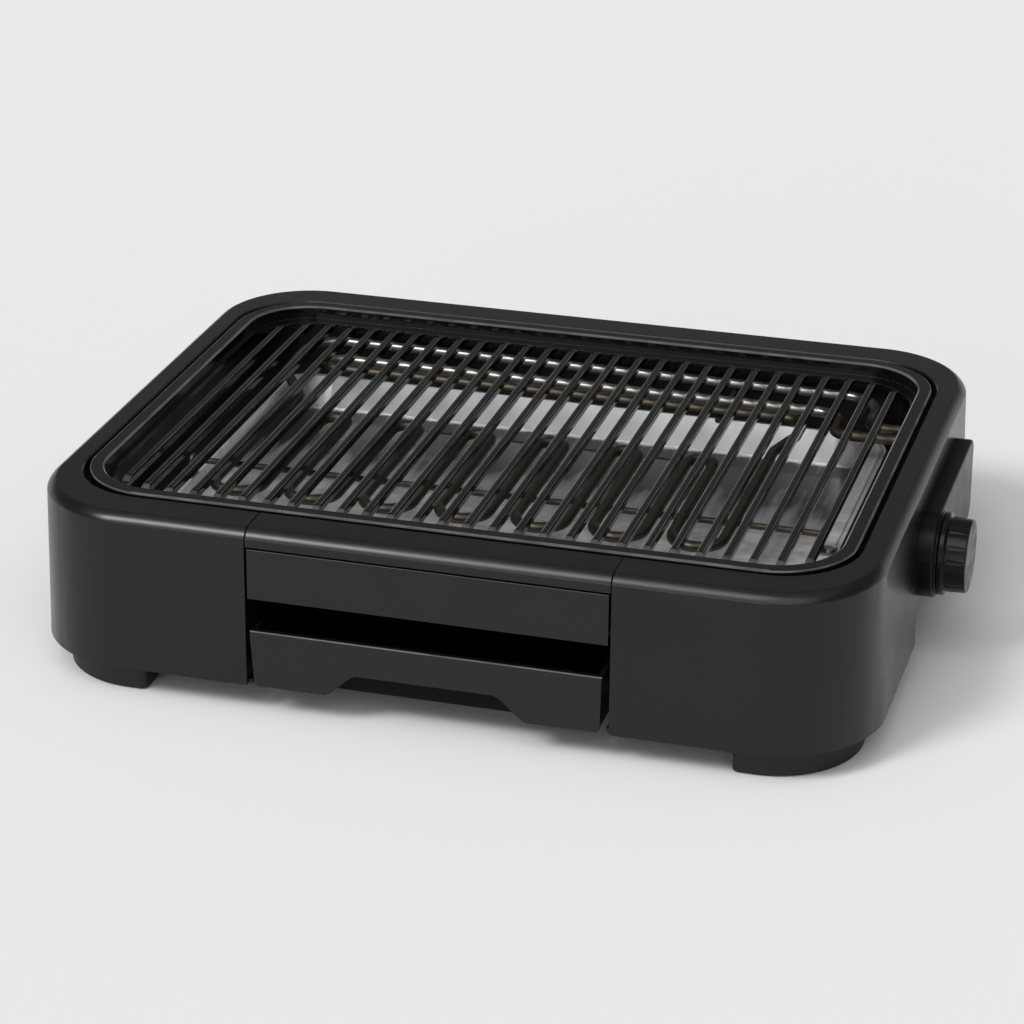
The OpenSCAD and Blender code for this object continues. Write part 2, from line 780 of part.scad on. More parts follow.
// Channel that carries a rib of the tray, with a rear stop
module tray_runner(s) {
  x0 = runner_in;
  x1 = runner_in + rib_out;
  color([0.55, 0.55, 0.56]) place() mirror([s > 0 ? 0 : 1, 0, 0]) {
    difference() {
      union() {
        box([x1, runner_front, plate_top], [x1 + runner_t, tray_rear + 4, plate_top + runner_h]);
        box([x0, runner_front, rib_z - slide_gap / 2 - runner_t],
            [x1 + tiny, tray_rear + 4, rib_z - slide_gap / 2]);
        box([x0, runner_front, rib_z + rib_t + slide_gap],
            [x1 + tiny, tray_rear + 4, rib_z + rib_t + slide_gap + runner_t]);
        // rear stop and floor flange
        box([x0, tray_rear + 2.4, rib_z - 1], [x1 + tiny, tray_rear + 4, rib_z + rib_t + 1]);
        box([x1, runner_front, plate_top], [x1 + 14, tray_rear + 4, plate_top + runner_t]);
      }
      for (y = RUNNER_SCREWS)
        translate([x1 + runner_t + 7, y, plate_top - 1])
          cylinder(h = runner_t + 2, r = screw_r + hole_gap, $fn = 32);
    }
  }
}

module tray_runner_left() { tray_runner(-1); }
module tray_runner_right() { tray_runner(1); }

// ---------- Well ----------

// Black steel liner: shelf for the grate, walls, and ledge for the reflector
module well_liner() {
  color([0.07, 0.07, 0.07]) place() {
    difference() {
      union() {
        // shelf
        translate([0, 0, shelf_z - sheet_t]) linear_extrude(sheet_t)
          difference() {
            rounded(liner_half, housing_corner_r - wall_t - 3);
            rounded(well_half, well_r);
          }
        // walls
        translate([0, 0, ledge_plate_z - sheet_t])
          linear_extrude(shelf_z - ledge_plate_z)
            difference() {
              rounded(well_half + [sheet_t, sheet_t], well_r + sheet_t);
              rounded(well_half, well_r);
            }
        // ledge
        translate([0, 0, ledge_plate_z - sheet_t]) linear_extrude(sheet_t)
          difference() {
            rounded(well_half + [sheet_t / 2, sheet_t / 2], well_r);
            rounded_span(pan_half + sheet_t + 1, -pan_front - sheet_t - 1,
                         pan_back + sheet_t + 1, reflector_r + 2);
          }
      }
      for (s = [-1, 1])
        translate([s * bracket_screw_x, -rod_y, ledge_plate_z - 5])
          cylinder(h = 10, r = screw_r + hole_gap, $fn = 32);
      for (p = concat(RIM_BOSSES, BACK_BOSSES, BRIDGE_BOSSES))
        translate([p.x, p.y, shelf_z - 5]) cylinder(h = 10, r = screw_r + hole_gap, $fn = 32);
      for (y = term_y)
        rod_x(well_half.x - 5, well_half.x + 5, y, heater_z, sheath_r + 2 + hole_gap);
    }
  }
}

// Height of the reflector's floor: it falls from the rear wall to the gutter and
// rises from there to the front
function floor_z(y) = let (u = (gutter_y - y) / (gutter_y + pan_front))
  y > gutter_y
    ? pan_floor + gutter_fall * (y - gutter_y) / (pan_back - gutter_y)
    : pan_floor + floor_rise * (0.55 * u + 0.45 * u * u);

// Space above the floor, seen from the side, with the floor lowered by t
module floor_profile(t) {
  stations = [for (i = [0 : 12]) gutter_y - (gutter_y + pan_front + 4) * i / 12];
  polygon(concat(
    [[pan_back + 5, flange_z + 1], [pan_back + 5, floor_z(pan_back + 5) - t]],
    [for (y = stations) [y, floor_z(y) - t]],
    [[stations[12], flange_z + 1]]
  ));
}

// Tapered block of the pan's plan, its outline grown by t
module pan_block(t, top) {
  centre = (pan_back - pan_front) / 2;
  h = [pan_half + t, (pan_back + pan_front) / 2 + t];
  r = reflector_r + t;
  low = pan_floor - 4;
  translate([0, centre, 0]) {
    swept(h, r)
      polygon([
        [pan_slope * (top - flange_z), top],
        [pan_slope * (low - flange_z), low],
        [1 - r, low],
        [1 - r, top]
      ]);
    box([-h.x + r - 1.5, -h.y + r - 1.5, low], [h.x - r + 1.5, h.y - r + 1.5, top]);
  }
}

// Section of the bead on the flange, raised by z
module bead_section(z) {
  polygon([
    [-1.6, flange_z + z - 0.2], [-1.4, flange_z + z], [-0.6, flange_z + z + bead_h],
    [0.6, flange_z + z + bead_h], [1.4, flange_z + z], [1.6, flange_z + z - 0.2]
  ]);
}

// Bead along the sides and the front, broken where the heater's brackets stand
module bead(z) {
  r = reflector_r + rear_lip - bead_inset;
  side = pan_half + reflector_flange - bead_inset;
  rear = reflector_back - bead_inset - r;
  fore = -reflector_front + bead_inset + r;
  difference() {
    for (s = [0, 1])
      mirror([s, 0, 0]) {
        translate([side - r, rear, 0])
          rotate_extrude(angle = 40, $fn = 128) translate([r, 0]) bead_section(z);
        translate([side - r, fore, 0]) rotate([0, 0, -90])
          rotate_extrude(angle = 90, $fn = 128) translate([r, 0]) bead_section(z);
        translate([side, rear, 0]) rotate([90, 0, 0])
          linear_extrude(rear - fore) bead_section(z);
        translate([0, fore - r, 0]) rotate([90, 0, 90])
          linear_extrude(side - r) mirror([1, 0]) bead_section(z);
      }
    for (s = [-1, 1])
      translate([s * bracket_screw_x, -rod_y, flange_z])
        cube([20, bracket_w + 6, 20], center = true);
  }
}

module reflector_pan() {
  color([0.75, 0.75, 0.76]) place() {
    difference() {
      union() {
        translate([0, 0, flange_z - sheet_t]) linear_extrude(sheet_t)
          rounded_span(pan_half + reflector_flange, -reflector_front, reflector_back,
                       reflector_r + rear_lip);
        intersection() {
          pan_block(sheet_t, flange_z - sheet_t / 2);
          along_x(2 * pan_half + 20) floor_profile(sheet_t);
        }
        bead(0);
      }
      intersection() {
        pan_block(0, flange_z + 1);
        along_x(2 * pan_half + 20) floor_profile(0);
      }
      bead(-sheet_t);
      // narrow drain slots along the gutter, over the tray
      for (i = [-1.5, -0.5, 0.5, 1.5])
        translate([i * (drain_len + 8), gutter_y, pan_floor - 5]) linear_extrude(10)
          rounded([drain_len / 2, drain_w / 2], drain_w / 2 - tiny);
      // holes for the screws of the heater's brackets
      for (s = [-1, 1])
        translate([s * bracket_screw_x, -rod_y, flange_z - 5])
          cylinder(h = 10, r = screw_r + hole_gap, $fn = 32);
    }
  }
}

// ---------- Heating element ----------

// Corners of the heater's path, each with its bend radius: [x, y, r]
HEATER_PATH = concat(
  [
    [term_x, term_y[0], 0],
    [right_leg_x, term_y[0], 7],
    [right_leg_x, back_run_y, 23],
    [left_leg_x, back_run_y, 23],
    [left_leg_x, run_y - 11, 18],
    [loop_x[loop_count - 1] - loop_w / 2, run_y - 45, 18]
  ],
  [
    for (k = [loop_count - 1 : -1 : 0], c = [0 : (k > 0 ? 3 : 1)])
      c == 0 ? [loop_x[k] - loop_w / 2, -loop_front, loop_w / 2 - tiny]
      : c == 1 ? [loop_x[k] + loop_w / 2, -loop_front, loop_w / 2 - tiny]
      : c == 2 ? [loop_x[k] + loop_w / 2, loop_back, gap_r - tiny]
      : [loop_x[k - 1] - loop_w / 2, loop_back, gap_r - tiny]
  ],
  [
    [loop_x[0] + loop_w / 2, run_y - 53, 18],
    [loop_x[0] + loop_w / 2 + 8, run_y - 27, 18],
    [loop_x[0] + loop_w / 2 + 8, run_y, 12],
    [run_left, run_y, run_gap / 2 - tiny],
    [run_left, run_y + run_gap, run_gap / 2 - tiny],
    [run_right, run_y + run_gap, 15],
    [run_right, term_y[1], 8],
    [term_x, term_y[1], 0]
  ]
);

function xy(p) = [p.x, p.y];
function unit(v) = v / norm(v);
function turn(a, b) = atan2(a.x * b.y - a.y * b.x, a.x * b.x + a.y * b.y);

// Round tube along a flat path of corners with bend radii
module bent_tube(path, r) {
  n = len(path);
  dirs = [for (i = [0 : n - 2]) unit(xy(path[i + 1]) - xy(path[i]))];
  turns = [for (i = [0 : n - 1]) (i == 0 || i == n - 1) ? 0 : turn(dirs[i - 1], dirs[i])];
  cuts = [for (i = [0 : n - 1]) path[i][2] * tan(abs(turns[i]) / 2)];
  for (i = [0 : n - 2]) {
    // each straight reaches a hair into the bends beside it
    lap0 = i == 0 ? 0 : 0.1;
    lap1 = i == n - 2 ? 0 : 0.1;
    start = xy(path[i]) + dirs[i] * (cuts[i] - lap0);
    length = norm(xy(path[i + 1]) - xy(path[i])) - cuts[i] - cuts[i + 1] + lap0 + lap1;
    translate([start.x, start.y, 0]) rotate([0, 90, atan2(dirs[i].y, dirs[i].x)])
      cylinder(h = length, r = r, $fn = 32);
  }
  for (i = [1 : n - 2]) {
    s = sign(turns[i]);
    from = xy(path[i]) - dirs[i - 1] * cuts[i];
    centre = from + path[i][2] * s * [-dirs[i - 1].y, dirs[i - 1].x];
    to = centre + path[i][2] * s * [dirs[i].y, -dirs[i].x];
    first = s > 0 ? from - centre : to - centre;
    translate([centre.x, centre.y, 0]) rotate([0, 0, atan2(first.y, first.x)])
      rotate_extrude(angle = abs(turns[i]), $fn = 96) translate([path[i][2], 0]) circle(r + tiny, $fn = 32);
  }
}

// Wire in an upright plane from a to b, by way of [distance, height] corners
module wire(a, b, mids, r, bend) {
  span = norm([b.x - a.x, b.y - a.y]);
  path = concat([[0, a.z, 0]], [for (m = mids) [m.x, m.y, bend]], [[span, b.z, 0]]);
  translate([a.x, a.y, 0]) rotate([90, 0, atan2(b.y - a.y, b.x - a.x)])
    bent_tube(path, r);
}

module heating_element() {
  color([0.36, 0.31, 0.25]) place() translate([0, 0, heater_z])
    bent_tube(HEATER_PATH, sheath_r);
}

// Ceramic bushes where the element passes through the liner
module terminal_bushes() {
  color([0.85, 0.82, 0.75]) place()
    for (y = term_y)
      difference() {
        union() {
          rod_x(well_half.x - 3, well_half.x + sheet_t + 6, y, heater_z, sheath_r + 2);
          rod_x(well_half.x + sheet_t, well_half.x + sheet_t + 3, y, heater_z, sheath_r + 4);
        }
        rod_x(well_half.x - 5, well_half.x + sheet_t + 8, y, heater_z, sheath_r + hole_gap);
      }
}

// Cold pins and tab connectors at the ends of the element
module terminal_pins() {
  color([0.7, 0.7, 0.7]) place()
    for (y = term_y) {
      rod_x(term_x, term_x + pin_len, y, heater_z, 1.4);
      box([term_x + pin_len - 2, y - 3.2, heater_z - 0.5],
          [term_x + pin_len + 3, y + 3.2, heater_z + 0.5]);
    }
}

// Support rod across the pan under the loops
module element_rod() {
  color([0.42, 0.33, 0.22]) place()
    rod_x(-bracket_x - 2.4, bracket_x + 2.4, -rod_y, rod_z, rod_r);
}

// Small folded brackets that hold the rod's ends on the reflector's flange
module element_brackets() {
  top = rod_z + rod_r + 1.6;
  color([0.45, 0.45, 0.46]) place()
    for (s = [0, 1])
      mirror([s, 0, 0])
        difference() {
          union() {
            box([bracket_x, -rod_y - bracket_w / 2, flange_z],
                [bracket_x + bracket_t, -rod_y + bracket_w / 2, rod_z]);
            rod_x(bracket_x, bracket_x + bracket_t, -rod_y, rod_z, top - rod_z);
            box([bracket_x, -rod_y - bracket_w / 2, flange_z],
                [bracket_x + bracket_foot, -rod_y + bracket_w / 2, flange_z + bracket_t]);
          }
          rod_x(bracket_x - 5, bracket_x + 5, -rod_y, rod_z, rod_r + hole_gap);
          translate([bracket_screw_x, -rod_y, flange_z - 5])
            cylinder(h = 20, r = screw_r + hole_gap, $fn = 32);
        }
}

// Short rests under the two runs and the back run
module element_rests() {
  color([0.42, 0.33, 0.22]) place()
    for (x = [-rest_x, rest_x]) {
      rod_y(run_y - sheath_r, back_run_y + sheath_r, x, rod_z, rod_r);
      box([x - 1.2, reflector_back + 0.5, ledge_plate_z],
          [x + 1.2, reflector_back + 3.3, rod_z - rod_r + 0.8]);
    }
}

// ---------- Grate ----------

// Frame section with rounded upper edges, x from its outer side inward
module ring_section() {
  e = 1.2;
  polygon([
    [0, shelf_z], [0, ring_top - e], [-0.35 * e, ring_top - 0.35 * e], [-e, ring_top],
    [-ring_w + e, ring_top], [-ring_w + 0.35 * e, ring_top - 0.35 * e], [-ring_w, ring_top - e],
    [-ring_w, shelf_z]
  ]);
}

// Inner edge of the ledge at a bar's x
function ledge_edge(x) = let (cx = ledge_half.x - ledge_r, d = max(abs(x) - cx, 0))
  ledge_half.y - ledge_r + sqrt(max(ledge_r * ledge_r - d * d, 0));

// Side view of a bar: level on top, its ends curving down to the ledge
module bar_profile(reach) {
  steps = 6;
  drop = bar_top - ledge_top + 0.2;
  curve = [
    for (i = [0 : steps])
      let (t = i / steps)
      [reach - bar_bend - 1 + bar_bend * t, bar_top - drop * (1 - cos(180 * t)) / 2]
  ];
  polygon(concat(
    [[reach + 2, shelf_z], [reach + 2, ledge_top - 0.2]],
    [for (i = [steps : -1 : 0]) curve[i]],
    [for (i = [0 : steps]) [-curve[i].x, curve[i].y]],
    [[-reach - 2, ledge_top - 0.2], [-reach - 2, shelf_z]]
  ));
}

// Cross section of a bar, its top edges slightly rounded
module bar_section() {
  a = bar_top_w / 2;
  b = bar_foot_w / 2;
  e = 1.1;
  polygon([
    [-b, shelf_z], [-a, bar_top - e - 0.8], [-a, bar_top - e],
    [-a + 0.3 * e, bar_top - 0.3 * e], [-a + e, bar_top],
    [a - e, bar_top], [a - 0.3 * e, bar_top - 0.3 * e],
    [a, bar_top - e], [a, bar_top - e - 0.8], [b, shelf_z]
  ]);
}

module grill_grate() {
  color([0.11, 0.11, 0.115]) place() {
    swept(ring_half, ring_r) ring_section();
    translate([0, 0, shelf_z]) linear_extrude(ledge_t)
      difference() {
        rounded(ring_half - [ring_w - 1, ring_w - 1], ring_r - ring_w + 1);
        rounded(ledge_half, ledge_r);
      }
    for (i = [0 : bar_count - 1]) {
      x = (i - (bar_count - 1) / 2) * bar_pitch;
      reach = ledge_edge(x);
      intersection() {
        translate([x, 0, 0]) along_y(-reach - 3, reach + 3) bar_section();
        translate([x, 0, 0]) along_x(bar_top_w + 2) bar_profile(reach);
      }
    }
  }
}

// ---------- Control pod, thermostat and knob ----------

pod_front = -knob_y - pod_r;
pod_back_r = 9;
POD_BOSSES = [[-knob_y + 40, knob_z], [pod_back - 14, knob_z]];

// Pod outline in the Y-Z plane, grown or shrunk by d
module pod_outline(d) {
  r1 = pod_r + d;
  r2 = pod_back_r + d;
  translate([-knob_y, knob_z]) circle(r1, $fn = 96);
  translate([-knob_y, knob_z - r1]) square([pod_back - r2 + d + knob_y, 2 * r1]);
  translate([-knob_y, knob_z - r1 + r2]) square([pod_back + d + knob_y, 2 * (r1 - r2)]);
  for (s = [-1, 1])
    translate([pod_back + d - r2, knob_z + s * (r1 - r2)]) circle(r2, $fn = 48);
}

// Stands a Y-Z outline up along +X from x0
module toward_right(x0, length) {
  translate([x0, 0, 0]) rotate([90, 0, 90]) linear_extrude(length) children();
}

module control_pod() {
  inner = -pod_wall;
  color([0.08, 0.08, 0.085]) place() {
    intersection() {
      difference() {
        union() {
          hull() {
            toward_right(half.x - 2, pod_out + 0.4) pod_outline(0);
            toward_right(half.x - 2, pod_out + 1.2) pod_outline(-0.2);
            toward_right(half.x - 2, pod_out + 1.75) pod_outline(-0.65);
            toward_right(half.x - 2, pod_out + 2) pod_outline(-1.4);
          }
        }
        difference() {
          toward_right(half.x - 5, pod_out + 5 - pod_wall) pod_outline(inner);
          for (p = POD_BOSSES)
            rod_x(half.x - 6, pod_face, p.x, p.y, boss_r);
          for (p = PLATE_BOSSES)
            rod_x(plate_x + plate_thick, pod_face, p.x, p.y, 3);
        }
        for (p = POD_BOSSES)
          rod_x(half.x - 10, pod_face - pod_wall, p.x, p.y, screw_r + hole_gap);
        for (p = PLATE_BOSSES)
          rod_x(half.x - 10, pod_face - pod_wall, p.x, p.y, 1.2 + hole_gap);
        rod_x(half.x - 10, pod_face + 10, -knob_y, knob_z, spindle_r + 1.5);
      }
      along_y(-200, 200) translate([half.x, 0]) outside_section();
    }
  }
}

PLATE_BOSSES = [for (s = [-1, 1]) [-knob_y + s * 18, knob_z]];

module knob_collar() {
  color([0.3, 0.3, 0.31]) place()
    difference() {
      union() {
        rod_x(pod_face, pod_face + 0.6, -knob_y, knob_z, pod_r - 1.5);
        translate([pod_face + 0.6, -knob_y, knob_z]) rotate([0, 90, 0])
          cylinder(h = collar_t - 0.6, r1 = pod_r - 1.5, r2 = pod_r - 2);
      }
      rod_x(pod_face - 1, pod_face + 5, -knob_y, knob_z, spindle_r + 1.5);
    }
}

module knob() {
  grip_r = knob_d / 2;
  skirt_r = skirt_d / 2;
  color([0.14, 0.135, 0.13]) place()
    translate([knob_base, -knob_y, knob_z]) rotate([0, 90, 0])
      difference() {
        rotate_extrude($fn = 128)
          polygon([
            [0, 0], [skirt_r - 0.5, 0], [skirt_r, 0.5], [skirt_r, 2.8], [skirt_r - 0.8, 3.6],
            [grip_r + 0.3, 3.8], [grip_r, 4.2], [grip_r - 0.3, knob_len - 1],
            [grip_r - 0.6, knob_len - 0.3], [grip_r - 1.3, knob_len], [0, knob_len]
          ]);
        // shallow grip flutes
        for (i = [0 : flute_count - 1])
          rotate([0, 0, 360 * (i + 0.5) / flute_count])
            translate([grip_r + 4.2, 0, 5]) cylinder(h = knob_len, r = 4.6, $fn = 32);
        // pointer groove across the edge of the face
        rotate([0, 0, 180]) translate([grip_r - 8, -0.7, knob_len - 0.6]) cube([12, 1.4, 2]);
        // hollow underside and the spindle's socket
        difference() {
          translate([0, 0, -1]) cylinder(h = knob_len - 2, r = grip_r - 3.5, $fn = 96);
          translate([0, 0, 0.6]) cylinder(h = knob_len, r = spindle_r + 2.5, $fn = 48);
        }
        translate([0, 0, -1]) intersection() {
          cylinder(h = knob_len - 3 + hole_gap, r = spindle_r + hole_gap, $fn = 48);
          translate([-10, -10, 0]) cube([20, 10 + spindle_r - 1 + hole_gap, knob_len]);
        }
      }
}

// Spindle with a flat that keys it into the knob
module thermostat_spindle() {
  x0 = plate_x - 5;
  color([0.7, 0.7, 0.7]) place()
    difference() {
      rod_x(x0, knob_base + knob_len - 4, -knob_y, knob_z, spindle_r);
      box([knob_base + 0.6, -knob_y + spindle_r - 1, knob_z - 10],
          [knob_face + 1, -knob_y + 20, knob_z + 10]);
    }
}

module thermostat() {
  color([0.8, 0.78, 0.72]) place()
    difference() {
      union() {
        rod_x(plate_x - stat_len, plate_x - 3, -knob_y, knob_z, stat_r);
        rod_x(plate_x - 4, plate_x, -knob_y, knob_z, 8);
        for (s = [-1, 1])
          box([plate_x - stat_len - 4, -knob_y - 3.2, knob_z - 0.5 + s * tab_z],
              [plate_x - stat_len + 1, -knob_y + 3.2, knob_z + 0.5 + s * tab_z]);
        rod_x(plate_x - stat_len - 3, plate_x - stat_len + 1, -knob_y - 8, knob_z, 2);
      }
      rod_x(plate_x - 7, plate_x + 1, -knob_y, knob_z, spindle_r + turn_gap);
    }
}

// Steel plate that carries the thermostat on two bosses of the pod
module thermostat_plate() {
  color([0.6, 0.6, 0.61]) place()
    difference() {
      toward_right(plate_x, plate_thick)
        translate([-knob_y, knob_z]) {
          rounded([22, 6], 3);
          circle(stat_r + 2);
        }
      rod_x(plate_x - 1, plate_x + 4, -knob_y, knob_z, spindle_r + 1);
      for (p = PLATE_BOSSES)
        rod_x(plate_x - 5, plate_x + 5, p.x, p.y, 1.2 + hole_gap);
    }
}

bulb_x = well_half.x + sheet_t + 2.6;
bulb_y = -2;
bulb_z = flange_z + 13;
cutout_y = 50;
tab_z = 8;

// Sensor bulb in its clips on the liner's wall, and the capillary to the thermostat
module sensor_bulb() {
  color([0.72, 0.5, 0.36]) place() {
    rod_y(bulb_y - 35, bulb_y + 35, bulb_x, bulb_z, 2.4);
    for (y = [bulb_y - 29, bulb_y + 29])
      difference() {
        box([well_half.x + sheet_t, y - 3, bulb_z - 4], [bulb_x + 1, y + 3, bulb_z + 4]);
        rod_y(y - 4, y + 4, bulb_x, bulb_z, 2.3);
      }
    wire([plate_x - stat_len - 3.8, -knob_y - 8, knob_z], [bulb_x, bulb_y - 35.5, bulb_z],
         [[6, knob_z], [6, bulb_z]], 0.8, 3);
    rod_y(bulb_y - 36.5, bulb_y - 34.5, bulb_x, bulb_z, 1.4);
  }
}

// Bimetal safety cut-out on the liner's wall
module thermal_cutout() {
  x0 = well_half.x + sheet_t;
  color([0.82, 0.8, 0.75]) place() {
    rod_x(x0, x0 + 6, cutout_y, flange_z + 8, 7.5);
    box([x0, cutout_y - 12, flange_z + 4.5], [x0 + 1, cutout_y + 12, flange_z + 11.5]);
  }
}

block_pos = [inlet_x, half.y - 57];

module terminal_block() {
  color([0.9, 0.88, 0.82]) place()
    translate([block_pos.x, block_pos.y, plate_top]) difference() {
      union() {
        translate([-18, -9, 0]) cube([36, 18, 8]);
        for (i = [-1, 0, 1]) translate([i * 12 - 5, -7, 7]) cube([10, 14, 8]);
      }
      for (i = [-1, 0, 1]) {
        translate([i * 12, 0, 11]) rotate([90, 0, 0]) cylinder(h = 30, r = 2, center = true, $fn = 32);
        translate([i * 12, 4, 8]) cylinder(h = 20, r = 1.8, $fn = 32);
      }
    }
}

// Recessed appliance inlet, held from inside the rear wall
module appliance_inlet() {
  w = inlet_size.x;
  h = inlet_size.y;
  color([0.08, 0.08, 0.08]) place() {
    difference() {
      union() {
        box([inlet_x - w / 2, half.y - 20, inlet_z - h / 2],
            [inlet_x + w / 2, inlet_face, inlet_z + h / 2]);
        intersection() {
          box([inlet_x - w / 2 - 11, half.y - 6, inlet_z - h / 2 - 2],
              [inlet_x + w / 2 + 11, half.y, inlet_z + h / 2 + 2]);
          rotate([0, 0, 90]) translate([0, -inlet_x - 60, 0]) along_y(0, 120)
            polygon([
              [half.y + lean(0) - wall_t, 0],
              [half.y + lean(edge_z) - wall_t, edge_z],
              [half.y - 20, edge_z],
              [half.y - 20, 0]
            ]);
        }
      }
      // socket with two cut corners
      translate([inlet_x, inlet_face + 1, inlet_z]) rotate([90, 0, 0]) linear_extrude(18)
        polygon([[-12, -8], [12, -8], [12, 4], [7.5, 8], [-7.5, 8], [-12, 4]]);
      for (p = INLET_PINS)
        box([p.x - 1 - hole_gap, half.y - 30, p.y - 2 - hole_gap],
            [p.x + 1 + hole_gap, half.y, p.y + 2 + hole_gap]);
      for (s = [-1, 1])
        rod_y(half.y - 10, half.y + 10, inlet_x + s * inlet_ear, inlet_z, screw_r + hole_gap);
    }
  }
}

INLET_PINS = [[inlet_x - 7, inlet_z - 2], [inlet_x, inlet_z + 2], [inlet_x + 7, inlet_z - 2]];

module inlet_pins() {
  color([0.8, 0.78, 0.7]) place()
    for (p = INLET_PINS)
      box([p.x - 1, half.y - 28, p.y - 2], [p.x + 1, half.y - 3, p.y + 2]);
}

// Insulated wires between inlet, block, thermostat and element
module wiring() {
  port_z = plate_top + 11;
  front = block_pos.y - 9.4;
  rear = block_pos.y + 9.4;
  tab_x = plate_x - stat_len - 5.9;
  pin_x = term_x + pin_len + 1.4;
  lower_tab = [tab_x, -knob_y, knob_z - tab_z];
  upper_tab = [tab_x, -knob_y, knob_z + tab_z];
  far_pin = [pin_x, term_y[0], heater_z - 0.6];
  near_pin = [pin_x, term_y[1], heater_z - 0.6];
  color([0.6, 0.12, 0.1]) place() {
    for (i = [0 : 2])
      wire([block_pos.x + (i - 1) * 12, rear, port_z],
           [INLET_PINS[i].x, half.y - 28.4, INLET_PINS[i].y],
           [[6, port_z], [14, INLET_PINS[i].y]], 1.4, 4);
    wire([block_pos.x, front, port_z], lower_tab,
         [[span([block_pos.x, front], lower_tab) - 44, port_z],
          [span([block_pos.x, front], lower_tab) - 30, lower_tab.z]], 1.3, 5);
    wire(upper_tab, near_pin, [[span(upper_tab, near_pin), upper_tab.z]], 1.3, 5);
    wire([block_pos.x + 12, front, port_z], far_pin,
         [[span([block_pos.x + 12, front], far_pin), port_z]], 1.3, 5);
  }
}

// Distance between two points in plan
function span(a, b) = norm([b.x - a.x, b.y - a.y]);

// ---------- Screws ----------

// Pan head screw pointing up, its head's underside at z = 0
module screw_up(length) {
  translate([0, 0, -head_t]) cylinder(h = head_t, r = head_r, $fn = 32);
  cylinder(h = length, r = screw_r, $fn = 32);
}

module base_screws() {
  color([0.3, 0.3, 0.3]) place() {
    for (p = BASE_BOSSES)
      translate([p.x, p.y, foot_h + head_t * 0.9 - tiny]) screw_up(12);
    for (s = [-1, 1], y = RUNNER_SCREWS)
      translate([s * (runner_in + rib_out + runner_t + 7), y, foot_h]) screw_up(6);
  }
}

module liner_screws() {
  color([0.3, 0.3, 0.3]) place()
    for (p = concat(RIM_BOSSES, BACK_BOSSES, BRIDGE_BOSSES))
      translate([p.x, p.y, shelf_z - sheet_t]) screw_up(6.5);
}

module foot_screws() {
  color([0.3, 0.3, 0.3]) place()
    for (c = CORNERS)
      translate([c.x * foot_c.x, c.y * foot_c.y, pad_show + 7])
        screw_up(foot_h + plate_t - pad_show - 7 + 1);
}

module inlet_screws() {
  color([0.3, 0.3, 0.3]) place()
    for (s = [-1, 1])
      translate([inlet_x + s * inlet_ear, inlet_seat, inlet_z])
        rotate([90, 0, 0]) screw_up(6);
}

module panel_screws() {
  color([0.3, 0.3, 0.3]) place()
    for (p = PANEL_BOSSES)
      translate([p.x, -half.y + 8 + wall_t, p.y]) rotate([90, 0, 0]) screw_up(8);
}

module control_screws() {
  color([0.3, 0.3, 0.3]) place() {
    for (p = POD_BOSSES)
      translate([half.x + lean(knob_z + head_r) - wall_t, p.x, p.y]) rotate([0, 90, 0]) screw_up(8);
    for (p = PLATE_BOSSES)
      translate([plate_x, p.x, p.y]) rotate([0, 90, 0]) {
        translate([0, 0, -1.2]) cylinder(h = 1.2, r = 2.2, $fn = 32);
        cylinder(h = 3.6, r = 1.2, $fn = 32);
      }
    // screws of the heater's brackets, down through the reflector's flange
    for (s = [-1, 1])
      translate([s * bracket_screw_x, -rod_y, flange_z + bracket_t])
        rotate([180, 0, 0]) screw_up(5);
  }
}

housing();
front_bridge();
front_panel();
base_plate();
foot_front_left();
foot_front_right();
foot_rear_left();
foot_rear_right();
foot_pads();
drip_tray();
tray_runner_left();
tray_runner_right();
well_liner();
reflector_pan();
heating_element();
terminal_bushes();
terminal_pins();
element_rod();
element_rests();
element_brackets();
grill_grate();
control_pod();
knob_collar();
knob();
thermostat_spindle();
thermostat();
thermostat_plate();
sensor_bulb();
thermal_cutout();
terminal_block();
appliance_inlet();
inlet_pins();
wiring();
base_screws();
liner_screws();
foot_screws();
inlet_screws();
panel_screws();
control_screws();
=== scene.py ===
# %% [markdown]
# # Dressing an electric indoor grill
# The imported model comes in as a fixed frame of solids: a moulded housing, a cast grate, a tubular heater, a
# steel reflector pan, a drip tray and a knob. This lesson gives each of them the finish that it has on the
# real product, and softens the edges that light catches, so that the whole reads as one made object.
# Nothing is moved: every size stays as the solids have it.

# %% Load the frame
import math

import bmesh
import bpy
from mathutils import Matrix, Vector


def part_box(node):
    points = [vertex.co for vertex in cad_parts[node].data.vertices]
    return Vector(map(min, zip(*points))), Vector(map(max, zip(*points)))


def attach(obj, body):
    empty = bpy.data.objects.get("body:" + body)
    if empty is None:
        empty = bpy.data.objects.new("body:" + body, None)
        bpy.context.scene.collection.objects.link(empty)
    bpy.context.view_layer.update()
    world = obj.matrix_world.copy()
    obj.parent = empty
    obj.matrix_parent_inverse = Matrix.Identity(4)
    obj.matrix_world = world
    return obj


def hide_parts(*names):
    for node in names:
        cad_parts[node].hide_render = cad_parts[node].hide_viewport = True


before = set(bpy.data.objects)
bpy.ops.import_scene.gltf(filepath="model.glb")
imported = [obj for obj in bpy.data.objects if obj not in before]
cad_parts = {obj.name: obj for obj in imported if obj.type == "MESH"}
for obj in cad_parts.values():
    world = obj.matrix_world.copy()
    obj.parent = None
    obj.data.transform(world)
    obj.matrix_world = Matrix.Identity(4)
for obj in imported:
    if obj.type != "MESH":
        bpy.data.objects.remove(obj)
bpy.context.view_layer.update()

MM = 0.001

